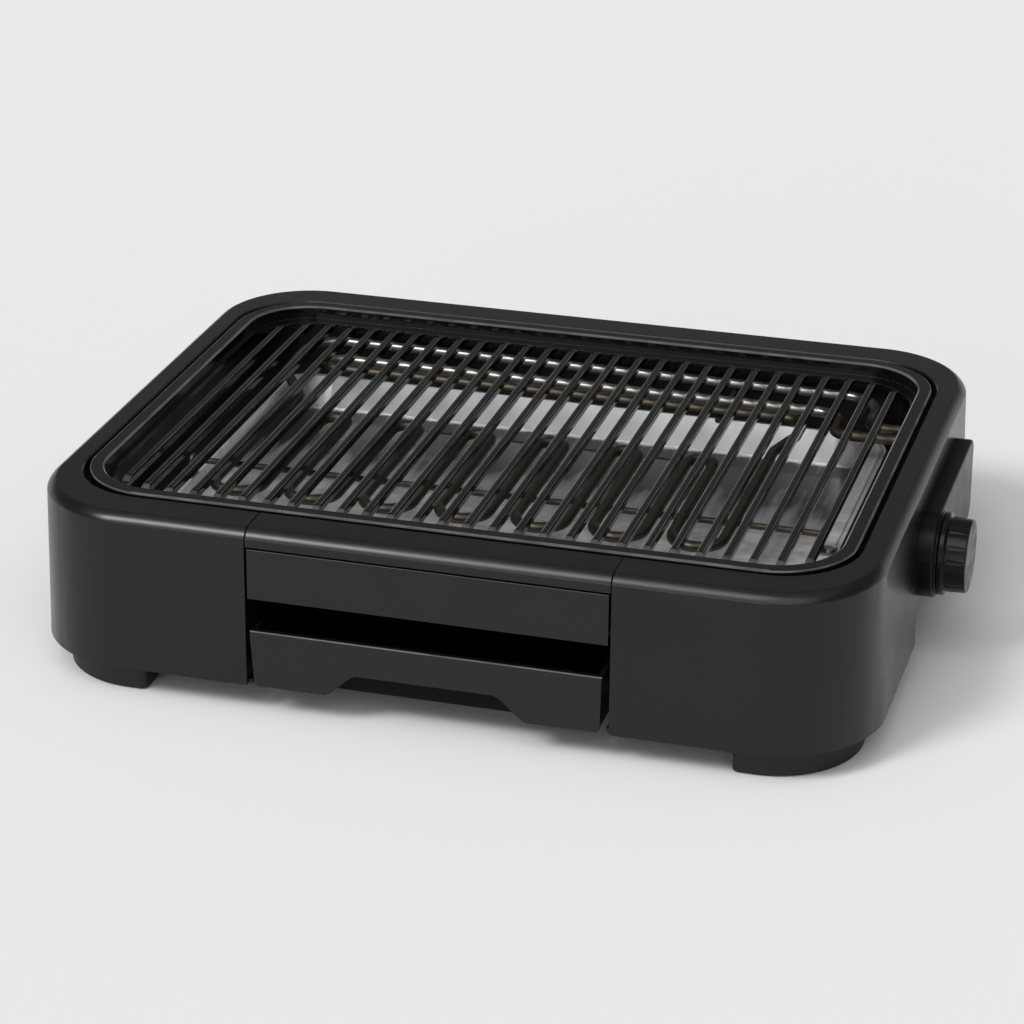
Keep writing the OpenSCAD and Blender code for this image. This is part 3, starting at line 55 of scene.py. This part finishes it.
# %% [markdown]
# ## The camera
# A product picture is taken from well back with a long lens, so that upright edges stay nearly parallel.
# The camera is placed by two angles round the grill and a distance, because those three numbers are easy to
# reason about: how far round to the right, how far up, and how far away. The view transform is the plain one,
# so a colour keeps the value that is typed for it.

# %% Place the camera
LOOK_AT_MM = (-15.32, -11.87, 60.5)
TURNED = math.radians(16.477)
RAISED = math.radians(24.088)
AWAY_MM = 1878.4
LENS_MM = 112.085
SENSOR_MM = 36.0

toward_camera = Vector((math.sin(TURNED) * math.cos(RAISED),
                        -math.cos(TURNED) * math.cos(RAISED),
                        math.sin(RAISED)))
camera_data = bpy.data.cameras.new("studio_camera")
camera_data.sensor_width = SENSOR_MM
camera_data.lens = LENS_MM
camera = bpy.data.objects.new("studio_camera", camera_data)
camera.location = Vector(LOOK_AT_MM) * MM + toward_camera * (AWAY_MM * MM)
camera.rotation_euler = (-toward_camera).to_track_quat("-Z", "Y").to_euler()
bpy.context.scene.collection.objects.link(camera)
bpy.context.scene.camera = camera
bpy.context.scene.view_settings.view_transform = "Standard"
print("camera at", [round(v, 3) for v in camera.location])

# %% [markdown]
# ## Studio light
# Black plastic shows its shape only by what it reflects, so the lamps are placed by where each surface looks.
# The rounded front of the rim looks forward and up, so the key light stands there, a little to the left, and
# draws one bright line along it. A weaker strip higher up spreads the upper side of that line, and a wide
# silk nearly overhead lights the level tops. A fill at the other side of the camera carries the line round
# the right corner, and a low silk in front is what the steel pan's back wall looks at. All of them are suns,
# so the floor is lit evenly however far it runs, and they stay at a plain level, at which a colour comes out
# about as it is written.

# %% Hang the lamps
LAMPS = (      # name, where it stands, strength, spread in degrees
    ("front_key", (-0.41, -0.58, 0.70), 1.6, 17),
    ("edge_strip", (-0.14, -0.46, 0.875), 0.4, 24),
    ("overhead_silk", (0.04, -0.20, 0.98), 0.55, 90),
    ("right_fill", (0.27, -0.67, 0.69), 0.8, 50),
    ("low_front_silk", (-0.22, -0.95, 0.21), 0.45, 30),
)

for lamp_name, direction, strength, spread in LAMPS:
    lamp_data = bpy.data.lights.new(lamp_name, "SUN")
    lamp_data.energy = strength
    lamp_data.angle = math.radians(spread)
    lamp = bpy.data.objects.new(lamp_name, lamp_data)
    lamp.rotation_euler = (-Vector(direction)).to_track_quat("-Z", "Y").to_euler()
    bpy.context.scene.collection.objects.link(lamp)

# %% [markdown]
# ## The room
# The room is pale at eye level and dims towards the ceiling. Level black tops look up and back into that
# dim part, which keeps them dark, while upright and rounded faces look at the pale part. The brightness of
# the world background simply follows the height of the ray.

# %% Light the room
EYE_LEVEL = 0.784        # brightness of the room low down
CEILING = 0.16           # and overhead
PALE_BELOW = 0.08        # height of a ray, from 0 at the horizon to 1 straight up
DIM_ABOVE = 0.27

world = bpy.data.worlds.new("studio_room")
world.use_nodes = True
room = world.node_tree
ray = room.nodes.new("ShaderNodeTexCoord")
ray_height = room.nodes.new("ShaderNodeSeparateXYZ")
room.links.new(ray.outputs["Generated"], ray_height.inputs["Vector"])
dimming = room.nodes.new("ShaderNodeMapRange")
dimming.interpolation_type = "SMOOTHSTEP"
dimming.inputs["From Min"].default_value = PALE_BELOW
dimming.inputs["From Max"].default_value = DIM_ABOVE
dimming.inputs["To Min"].default_value = EYE_LEVEL
dimming.inputs["To Max"].default_value = CEILING
room.links.new(ray_height.outputs["Z"], dimming.inputs["Value"])
room.nodes["Background"].inputs["Color"].default_value = (1, 1, 1, 1)
room.links.new(dimming.outputs["Result"], room.nodes["Background"].inputs["Strength"])
bpy.context.scene.world = world
print("room:", EYE_LEVEL, "down to", CEILING)

# %% [markdown]
# ## The floor
# The grill stands on a broad sheet of matt pale grey paper. Its colour is set so that, lit by these lamps, it
# comes out as about the same pale grey as the room at eye level. It keeps the soft shadow that ties the grill
# to the ground.

# %% Roll out the floor
PAPER_GREY = 0.8
PAPER_REACH_M = 12.0

sheet = bmesh.new()
bmesh.ops.create_grid(sheet, x_segments=2, y_segments=2, size=PAPER_REACH_M)
floor_mesh = bpy.data.meshes.new("studio_floor")
sheet.to_mesh(floor_mesh)
sheet.free()
floor = bpy.data.objects.new("studio_floor", floor_mesh)
bpy.context.scene.collection.objects.link(floor)
paper = bpy.data.materials.new("studio_paper")
paper.use_nodes = True
paper_shader = paper.node_tree.nodes["Principled BSDF"]
paper_shader.inputs["Base Color"].default_value = (PAPER_GREY, PAPER_GREY, PAPER_GREY, 1)
paper_shader.inputs["Roughness"].default_value = 1.0
paper_shader.inputs["Specular IOR Level"].default_value = 0.0
floor_mesh.materials.append(paper)
print("floor:", floor.name)

# %% [markdown]
# ## Tools for finishes
# Every finish starts from the same shader and then differs in a few ways: a fine grain pressed into it, a
# roughness that wanders a little, and a colour that isn't quite even. Small helpers make those. They all
# work in object coordinates, which here are metres in the grill's own frame, so a size can be asked for in
# millimetres and a pattern stays fixed to its piece when the piece moves.

# %% Start a finish
def new_finish(name, colour, roughness, metallic=0.0, specular=0.5):
    finish = bpy.data.materials.new(name)
    finish.use_nodes = True
    shader = finish.node_tree.nodes["Principled BSDF"]
    shader.inputs["Base Color"].default_value = (*colour, 1)
    shader.inputs["Roughness"].default_value = roughness
    shader.inputs["Metallic"].default_value = metallic
    shader.inputs["Specular IOR Level"].default_value = specular
    return finish


def place_of(finish, stretch=(1, 1, 1)):
    tree = finish.node_tree
    place = tree.nodes.new("ShaderNodeTexCoord")
    scale = tree.nodes.new("ShaderNodeMapping")
    scale.inputs["Scale"].default_value = stretch
    tree.links.new(place.outputs["Object"], scale.inputs["Vector"])
    return scale.outputs["Vector"]


def grain(finish, size_mm, detail=3.0, stretch=(1, 1, 1)):
    tree = finish.node_tree
    noise = tree.nodes.new("ShaderNodeTexNoise")
    noise.inputs["Scale"].default_value = 1.0 / (size_mm * MM)
    noise.inputs["Detail"].default_value = detail
    tree.links.new(place_of(finish, stretch), noise.inputs["Vector"])
    return noise.outputs["Fac"]


print("a finish starts with new_finish, and grain gives it a pattern")

# %% [markdown]
# ## Tools that change a finish
# A real surface is never quite even. A bump presses a fine texture into it, as the tool or the casting sand
# does. A value that wanders between two ends stands for wear and handling, and a tint does the same for the
# colour.

# %% Press a grain, let a value wander, tint by a pattern
NOISE_LOW = 0.3          # nearly all of a noise pattern lies between these two
NOISE_HIGH = 0.7


def press(finish, pattern, depth_mm, strength=0.5):
    tree = finish.node_tree
    bump = tree.nodes.new("ShaderNodeBump")
    bump.inputs["Distance"].default_value = depth_mm * MM
    bump.inputs["Strength"].default_value = strength
    tree.links.new(pattern, bump.inputs["Height"])
    tree.links.new(bump.outputs["Normal"], tree.nodes["Principled BSDF"].inputs["Normal"])


def wander(finish, socket, pattern, low, high):
    tree = finish.node_tree
    spread = tree.nodes.new("ShaderNodeMapRange")
    spread.inputs["From Min"].default_value = NOISE_LOW
    spread.inputs["From Max"].default_value = NOISE_HIGH
    spread.inputs["To Min"].default_value = low
    spread.inputs["To Max"].default_value = high
    tree.links.new(pattern, spread.inputs["Value"])
    tree.links.new(spread.outputs["Result"], tree.nodes["Principled BSDF"].inputs[socket])


def tint(finish, pattern, colours, stops=(0.35, 0.65)):
    tree = finish.node_tree
    ramp = tree.nodes.new("ShaderNodeValToRGB")
    for element, stop, colour in zip(ramp.color_ramp.elements, stops, colours):
        element.position = stop
        element.color = (*colour, 1)
    tree.links.new(pattern, ramp.inputs["Fac"])
    tree.links.new(ramp.outputs["Color"], tree.nodes["Principled BSDF"].inputs["Base Color"])


print("a finish is varied with press, wander and tint")

# %% [markdown]
# ## Tools that place a finish
# Some finishes change along a piece, as a heater does where it has been hot. A step along one axis, given in
# millimetres, marks such a place. A pattern that picks out the edges that look upward by their normal
# carries a painted highlight along them, where light would catch them. Patterns can be multiplied, and a
# finish is then put on the nodes that wear it.

# %% Follow a direction, combine patterns, dress nodes
LEANS_UP = (0.2, 0.5)        # the normal's height, where a rounded edge begins to look up
NEARLY_LEVEL = (0.985, 0.9)  # and where it has become a level top, which gets no painted highlight


def step_between(finish, value, start, end):
    tree = finish.node_tree
    step = tree.nodes.new("ShaderNodeMapRange")
    step.interpolation_type = "SMOOTHSTEP"
    step.inputs["From Min"].default_value = start
    step.inputs["From Max"].default_value = end
    tree.links.new(value, step.inputs["Value"])
    return step.outputs["Result"]


def along(finish, axis, from_mm, to_mm):
    tree = finish.node_tree
    parts = tree.nodes.new("ShaderNodeSeparateXYZ")
    tree.links.new(place_of(finish), parts.inputs["Vector"])
    return step_between(finish, parts.outputs[axis], from_mm * MM, to_mm * MM)


def combined(finish, first, second, operation="MULTIPLY"):
    tree = finish.node_tree
    maths = tree.nodes.new("ShaderNodeMath")
    maths.operation = operation
    tree.links.new(first, maths.inputs[0])
    tree.links.new(second, maths.inputs[1])
    return maths.outputs["Value"]


def upper_edges(finish):
    tree = finish.node_tree
    faced = tree.nodes.new("ShaderNodeTexCoord")
    parts = tree.nodes.new("ShaderNodeSeparateXYZ")
    tree.links.new(faced.outputs["Normal"], parts.inputs["Vector"])
    height = parts.outputs["Z"]
    return combined(finish, step_between(finish, height, *LEANS_UP),
                    step_between(finish, height, *NEARLY_LEVEL))


def dress(finish, *names):
    for name in names:
        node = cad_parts[name]
        node.data.materials.clear()
        node.data.materials.append(finish)
    print(finish.name, "on", ", ".join(names))


# %% [markdown]
# ## Moulded charcoal plastic
# The housing and the bridge across the front of its rim are mouldings from tools of one kind. They are spark
# eroded, which leaves a very fine grain that spreads highlights into a soft sheen. A small bump at the size
# of that grain, and a roughness that drifts over several centimetres as the tool's polish does, give that
# sheen without a visible pattern.

# %% Moulded shell
charcoal = new_finish("moulded_charcoal", (0.004, 0.004, 0.0042), 0.28, specular=0.36)
press(charcoal, grain(charcoal, size_mm=0.7), depth_mm=0.025, strength=0.35)
wander(charcoal, "Roughness", grain(charcoal, size_mm=60, detail=2.0), low=0.25, high=0.31)
tint(charcoal, grain(charcoal, size_mm=90, detail=2.0),
     colours=((0.0034, 0.0034, 0.0036), (0.0046, 0.0046, 0.0048)))
dress(charcoal, "housing", "front_bridge")

# %% [markdown]
# ## Drip tray and front panel
# The tray and the fixed panel above it are mouldings of the same plastic from a smoother tool, because both
# have to wipe clean. Their upper edges carry a patchy paler colour, a painted highlight for the light that
# the edges looking upward would catch. On the tray it stays within the front lip, since the rest runs under
# cover.

# %% Drip tray and panel
EDGE_HIGHLIGHT_STOPS = (0.1, 0.62)   # how far into the painted highlight's pattern its paler colour starts and is full
LIP_ENDS_MM = 14             # behind the tray's front face
LIP_FULL_MM = 8

tray_black = new_finish("tray_black", (0.0055, 0.0055, 0.0057), 0.3, specular=0.38)
press(tray_black, grain(tray_black, size_mm=0.8), depth_mm=0.02, strength=0.3)
wander(tray_black, "Roughness", grain(tray_black, size_mm=45, detail=2.0), low=0.26, high=0.33)
tray_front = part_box("drip_tray")[0][1] / MM
# Painted highlight: a patchy paler colour on the edges that look upward, kept to the front lip.
painted_edge_highlight = combined(tray_black, upper_edges(tray_black), grain(tray_black, size_mm=22))
painted_edge_highlight = combined(tray_black, painted_edge_highlight,
                  along(tray_black, "Y", tray_front + LIP_ENDS_MM, tray_front + LIP_FULL_MM))
tint(tray_black, painted_edge_highlight, colours=((0.0042, 0.0042, 0.0044), (0.09, 0.089, 0.087)),
     stops=EDGE_HIGHLIGHT_STOPS)
dress(tray_black, "drip_tray", "front_panel")

# %% [markdown]
# ## Base, feet and inlet
# The parts that stand on the table are a coarser, duller moulding. Nobody polishes them, and a coarse grain
# hides scuffs.

# %% Base and feet
base_black = new_finish("base_black", (0.006, 0.006, 0.0062), 0.5, specular=0.35)
press(base_black, grain(base_black, size_mm=1.1), depth_mm=0.05)
wander(base_black, "Roughness", grain(base_black, size_mm=40, detail=2.0), low=0.45, high=0.58)
dress(base_black, "base_plate", "foot_front_left", "foot_front_right", "foot_rear_left",
      "foot_rear_right", "appliance_inlet")

# %% [markdown]
# ## Rubber pads
# Soft black rubber gives almost no highlight at all. Dust and handling make it uneven at the size of a
# fingertip.

# %% Rubber pads
pad_rubber = new_finish("pad_rubber", (0.012, 0.012, 0.012), 0.8)
press(pad_rubber, grain(pad_rubber, size_mm=0.5), depth_mm=0.05)
wander(pad_rubber, "Roughness", grain(pad_rubber, size_mm=12, detail=2.0), low=0.72, high=0.88)
dress(pad_rubber, "foot_pads")

# %% [markdown]
# ## Grate coating
# The cast grate is sprayed with a black non-stick coat. It flows a little before it cures, so it ends up
# smoother than the casting beneath, with a slow orange-peel waviness. That is a low roughness with a bump
# a couple of millimetres across. The upper edges of the bars carry a paler, patchy line, which is a painted
# highlight, and the gloss adds a thin reflection to it.

# %% Grate coating
coated = new_finish("grate_coating", (0.003, 0.003, 0.0032), 0.13, specular=0.42)
press(coated, grain(coated, size_mm=1.8, detail=2.0), depth_mm=0.012, strength=0.25)
wander(coated, "Roughness", grain(coated, size_mm=18), low=0.10, high=0.17)
# Painted highlight: a patchy paler colour along the upward edges of the bars.
painted_edge_highlight = combined(coated, upper_edges(coated), grain(coated, size_mm=22))
tint(coated, painted_edge_highlight, colours=((0.003, 0.003, 0.0032), (0.095, 0.094, 0.092)), stops=EDGE_HIGHLIGHT_STOPS)
dress(coated, "grill_grate")

# %% [markdown]
# ## Enamelled liner
# The wall of the well is thin steel under black stove enamel, which is glassy but lies in the shade of the
# grate. It is kept a little rough, as cooked-on haze leaves it.

# %% Liner enamel
enamel = new_finish("liner_enamel", (0.004, 0.004, 0.004), 0.42)
press(enamel, grain(enamel, size_mm=2.5, detail=2.0), depth_mm=0.04, strength=0.4)
wander(enamel, "Roughness", grain(enamel, size_mm=25, detail=2.0), low=0.36, high=0.5)
dress(enamel, "well_liner")

# %% [markdown]
# ## Reflector pan
# The pan is pressed from bright satin steel. Its walls and flange stay bright, and the rear of its floor,
# deep under the grate and below the flange, is painted nearly black as painted shade. Three ranges multiplied
# together pick out that dark patch: the part of the floor behind the front, the part ahead of the back wall,
# and the part below the flange. Broad blotches and finer streaks from front to back break it up, so that the
# painted shade has no ruled outline. Where it is dark it is also rougher and less like bare metal. The front
# of the floor is only hazed in clouds: it keeps its pale colour but mirrors less. Even the bright steel isn't
# fully metallic, because the satin surface scatters some light in all directions.

# %% Reflector steel
BRUSHED = (0.05, 1.0, 1.0)     # a grain drawn out across the grill
DRAWN_FRONT_TO_BACK = (1.0, 0.08, 1.0)  # and one drawn out from front to back

satin_steel = new_finish("reflector_steel", (0.7, 0.7, 0.71), 0.34, metallic=0.7, specular=0.2)
press(satin_steel, grain(satin_steel, size_mm=0.9, stretch=BRUSHED), depth_mm=0.006, strength=0.2)
# The dark floor of the pan is painted shade, deep under the grate and below the flange.
behind_front = along(satin_steel, "Y", -38, 84)
before_back_wall = along(satin_steel, "Y", 122, 114)
below_flange = along(satin_steel, "Z", 76, 69)
dull_shaded_floor = combined(satin_steel, behind_front, before_back_wall)
dull_shaded_floor = combined(satin_steel, dull_shaded_floor, below_flange)
blotches = combined(satin_steel, grain(satin_steel, size_mm=45, detail=2.0),
                    grain(satin_steel, size_mm=6, detail=2.0, stretch=DRAWN_FRONT_TO_BACK), "ADD")
dull_shaded_floor = combined(satin_steel, dull_shaded_floor, blotches)
# Pale steel where the mask is empty, nearly black painted shade where it is full.
tint(satin_steel, dull_shaded_floor, colours=((0.8, 0.8, 0.81), (0.036, 0.036, 0.0365)),
     stops=(0.0, 0.84))
wander(satin_steel, "Roughness", dull_shaded_floor, low=0.26, high=0.46)
front_haze = combined(satin_steel, along(satin_steel, "Y", 40, -16),
                      grain(satin_steel, size_mm=16))
hazed = combined(satin_steel, dull_shaded_floor, front_haze, "MAXIMUM")
wander(satin_steel, "Metallic", hazed, low=0.7, high=0.3)
dress(satin_steel, "reflector_pan")

# %% [markdown]
# ## Heater sheath
# The element is a steel-sheathed tube, and three of its runs cross the back. The furthest hangs over the gap
# behind the pan, the next over the pan's rear wall, and both stay silvery. The run ahead of them and the
# loops have been red hot, which leaves a dull olive-bronze oxide. One step along the depth of the grill
# makes the change, just ahead of those two runs.

# %% Heater sheath
sheath = new_finish("heater_sheath", (0.14, 0.11, 0.08), 0.34, metallic=0.85)
press(sheath, grain(sheath, size_mm=0.8), depth_mm=0.02, strength=0.3)
cool_end = along(sheath, "Y", 106, 112)
wander(sheath, "Roughness", cool_end, low=0.45, high=0.3)
tint(sheath, cool_end, colours=((0.072, 0.061, 0.046), (0.26, 0.252, 0.236)), stops=(0.0, 1.0))
dress(sheath, "heating_element")

# %% [markdown]
# ## Support wire
# The cross wire and the rests under the element are plain steel wire, browned by the heat more in some
# places than in others.

# %% Support wire
browned = new_finish("support_wire", (0.06, 0.047, 0.036), 0.52, metallic=0.7)
press(browned, grain(browned, size_mm=0.6), depth_mm=0.02, strength=0.3)
tint(browned, grain(browned, size_mm=25), colours=((0.034, 0.028, 0.022), (0.07, 0.056, 0.043)))
dress(browned, "element_rod", "element_rests")

# %% [markdown]
# ## Control pod and collar
# The pod that carries the knob is moulded in a polished tool, so it is smoother than the housing beside it.

# %% Control pod
pod_black = new_finish("pod_black", (0.0028, 0.0028, 0.003), 0.3, specular=0.13)
press(pod_black, grain(pod_black, size_mm=6, detail=1.0), depth_mm=0.01, strength=0.2)
wander(pod_black, "Roughness", grain(pod_black, size_mm=20, detail=2.0), low=0.26, high=0.34)
dress(pod_black, "control_pod", "knob_collar")

# %% [markdown]
# ## Knob
# The side of the knob is glossy, so that the shallow flutes read as a row of thin reflections. Its face is
# left matt, as a face that fingers rub always ends up. One material does both: a step along the axis of
# the knob swaps the roughness and the colour in the last half millimetre.

# %% Knob
face_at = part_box("knob")[1][0] / MM
knob_black = new_finish("knob_black", (0.004, 0.004, 0.004), 0.2, specular=0.15)
press(knob_black, grain(knob_black, size_mm=5, detail=1.0), depth_mm=0.01, strength=0.2)
on_face = along(knob_black, "X", face_at - 0.5, face_at - 0.2)
tint(knob_black, on_face, colours=((0.0035, 0.0035, 0.0035), (0.062, 0.058, 0.053)),
     stops=(0.0, 1.0))
rub = combined(knob_black, on_face, grain(knob_black, size_mm=8))
wander(knob_black, "Roughness", rub, low=0.2, high=0.5)
dress(knob_black, "knob")
print("knob face at x =", round(face_at, 2), "mm")

# %% [markdown]
# ## Small metalwork
# Runners, pins, most of the screws and the thermostat's spindle and plate are zinc plated. Plating is a
# soft grey, a little cloudy at the size of a fingertip.

# %% Plated steel
plated = new_finish("plated_steel", (0.5, 0.5, 0.51), 0.34, metallic=1.0)
press(plated, grain(plated, size_mm=0.9), depth_mm=0.02, strength=0.3)
wander(plated, "Roughness", grain(plated, size_mm=9), low=0.28, high=0.42)
dress(plated, "tray_runner_left", "tray_runner_right", "terminal_pins", "thermostat_spindle",
      "thermostat_plate", "base_screws", "liner_screws", "foot_screws", "control_screws")

# %% [markdown]
# ## Darker metalwork
# The two brackets that hold the support wire have been hot, so their plating has gone darker and browner.
# The screws of the inlet and the front panel sit in black mouldings, so they are chemically blackened when
# they are made and don't stand out.

# %% Hot brackets and blackened screws
hot_plate = new_finish("hot_plated_steel", (0.16, 0.15, 0.13), 0.42, metallic=0.9)
press(hot_plate, grain(hot_plate, size_mm=0.9), depth_mm=0.02, strength=0.3)
wander(hot_plate, "Roughness", grain(hot_plate, size_mm=6), low=0.36, high=0.5)
dress(hot_plate, "element_brackets")
blackened = new_finish("blackened_screws", (0.03, 0.03, 0.032), 0.4, metallic=0.8)
press(blackened, grain(blackened, size_mm=0.8), depth_mm=0.02, strength=0.3)
wander(blackened, "Roughness", grain(blackened, size_mm=5, detail=2.0), low=0.34, high=0.5)
dress(blackened, "inlet_screws", "panel_screws")

# %% [markdown]
# ## Ceramic parts
# The bushes round the heater's ends and the bodies of the controls are steatite, a dense fired ceramic that
# stays off-white. Like the copper and the wires, most of them can only be seen when the grill is opened,
# and they still get their own finish, so that the part looks right when it is.

# %% Ceramic
steatite = new_finish("steatite", (0.68, 0.65, 0.58), 0.6)
press(steatite, grain(steatite, size_mm=0.5), depth_mm=0.03, strength=0.4)
tint(steatite, grain(steatite, size_mm=7, detail=2.0),
     colours=((0.62, 0.59, 0.52), (0.72, 0.69, 0.63)))
dress(steatite, "terminal_bushes", "thermostat", "thermal_cutout", "terminal_block")

# %% [markdown]
# ## Thermostat and wiring
# The thermostat's bulb and its capillary are drawn copper, the inlet pins are nickelled brass, and the wires
# wear silicone sleeves, which stand the heat near the well.

# %% Copper, brass and silicone
copper = new_finish("drawn_copper", (0.65, 0.36, 0.22), 0.32, metallic=1.0)
tint(copper, grain(copper, size_mm=8), colours=((0.5, 0.26, 0.16), (0.72, 0.42, 0.27)))
dress(copper, "sensor_bulb")
nickel = new_finish("nickelled_brass", (0.66, 0.62, 0.5), 0.25, metallic=1.0)
wander(nickel, "Roughness", grain(nickel, size_mm=5, detail=2.0), low=0.2, high=0.32)
dress(nickel, "inlet_pins")
silicone = new_finish("silicone_sleeve", (0.35, 0.03, 0.02), 0.55)
tint(silicone, grain(silicone, size_mm=4), colours=((0.3, 0.025, 0.02), (0.4, 0.045, 0.03)))
dress(silicone, "wiring")

# %% [markdown]
# ## Softening moulded edges
# No moulding or casting leaves its tool with a knife edge. A fine bevel on each sharp corner is what draws
# the thin pale lines that make black plastic readable. The frame's mesh is loose triangles, so a copy is
# merged and its flat faces are joined up again, and then only the sharp edges are bevelled. Normals are
# weighted by face area, which keeps the big faces truly flat in shading. The copy stands for its node and
# rides on the same body.

# %% Copy a node with softened edges
SAME_POINT_MM = 0.004
STILL_FLAT = math.radians(0.6)
SHARP_EDGE = math.radians(28)
SHADED_SHARP = math.radians(34)
FLAT_FACE_WEIGHT = 60


def softened(node_name, body, width_mm, segments=2):
    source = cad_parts[node_name]
    shape = bmesh.new()
    shape.from_mesh(source.data)
    bmesh.ops.remove_doubles(shape, verts=shape.verts, dist=SAME_POINT_MM * MM)
    bmesh.ops.dissolve_limit(shape, angle_limit=STILL_FLAT, use_dissolve_boundaries=False,
                             verts=shape.verts, edges=shape.edges, delimit={"NORMAL"})
    edges = [e for e in shape.edges
             if len(e.link_faces) == 2 and e.calc_face_angle(0) > SHARP_EDGE]
    bmesh.ops.bevel(shape, geom=edges, offset=width_mm * MM, offset_type="OFFSET",
                    segments=segments, profile=0.5, affect="EDGES", clamp_overlap=True,
                    material=-1, loop_slide=True)
    mesh = bpy.data.meshes.new(node_name + "_softened")
    shape.to_mesh(mesh)
    open_edges = sum(1 for e in shape.edges if len(e.link_faces) != 2)
    print(node_name, "bevelled edges:", len(edges), "faces:", len(shape.faces),
          "open edges:", open_edges)
    shape.free()
    mesh.materials.append(source.data.materials[0])
    for face in mesh.polygons:
        face.use_smooth = True
    mesh.set_sharp_from_angle(angle=SHADED_SHARP)
    piece = bpy.data.objects.new(node_name + "_softened", mesh)
    bpy.context.scene.collection.objects.link(piece)
    evened = piece.modifiers.new("even_flats", "WEIGHTED_NORMAL")
    evened.mode = "FACE_AREA"
    evened.weight = FLAT_FACE_WEIGHT
    evened.keep_sharp = True
    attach(piece, body)
    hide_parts(node_name)
    return piece


print("softened bevels every edge sharper than", round(math.degrees(SHARP_EDGE)), "degrees")

# %% [markdown]
# ## Which edges are soft
# A housing this size comes out of its tool with corners of about half a millimetre. The panel's are wider,
# so that its outline catches light against the dark slot. The grate is a casting and has rounder edges than
# the mouldings, and a thick coating rounds them further, so its bevel has one more step.

# %% Soften the shell, the tray and the grate
softened("housing", "base", width_mm=0.5)
softened("front_bridge", "base", width_mm=0.5)
softened("front_panel", "base", width_mm=1.1)
tray_piece = softened("drip_tray", "tray", width_mm=0.5)
softened("grill_grate", "grate", width_mm=0.9, segments=3)

# %% [markdown]
# ## Finger recess
# Fingers reach up behind the lip of the tray to pull it. The wall that they meet there isn't polished in the
# tool, so it is duller, and it lies in the shade of the lip, which is painted in as a darker colour. So the
# faces behind the lip get a finish of their own, duller and with painted shade. A mesh can carry two
# finishes: each face holds the number of the one it wears.

# %% Dull the finger recess and paint its shade
RECESS_FROM_MM = 4.5         # behind the tray's front face
RECESS_TO_MM = 18
RECESS_HIGH_MM = 16          # above the tray's underside
LOOKS_FORWARD = -0.4         # the normal's Y, for a face that looks out of the recess

# Darker than the tray's plastic: painted shade behind the lip, with a duller finish.
dull_shaded_recess = new_finish("tray_recess", (0.0025, 0.0025, 0.0026), 0.6, specular=0.1)
press(dull_shaded_recess, grain(dull_shaded_recess, size_mm=1.0), depth_mm=0.04)
wander(dull_shaded_recess, "Roughness", grain(dull_shaded_recess, size_mm=30, detail=2.0), low=0.55, high=0.68)
tray_piece.data.materials.append(dull_shaded_recess)
tray_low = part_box("drip_tray")[0]
dulled = 0
for face in tray_piece.data.polygons:
    depth = face.center.y - tray_low[1]
    height = face.center.z - tray_low[2]
    behind_lip = RECESS_FROM_MM * MM < depth < RECESS_TO_MM * MM and height < RECESS_HIGH_MM * MM
    if behind_lip and face.normal.y < LOOKS_FORWARD:
        face.material_index = 1
        dulled += 1
print("faces dulled behind the lip:", dulled)

# %% [markdown]
# ## Finish
# The last line lists any node that has been left without a finish.

# %% List the undressed nodes
undressed = [name for name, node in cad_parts.items() if not node.data.materials]
print("undressed nodes:", undressed)
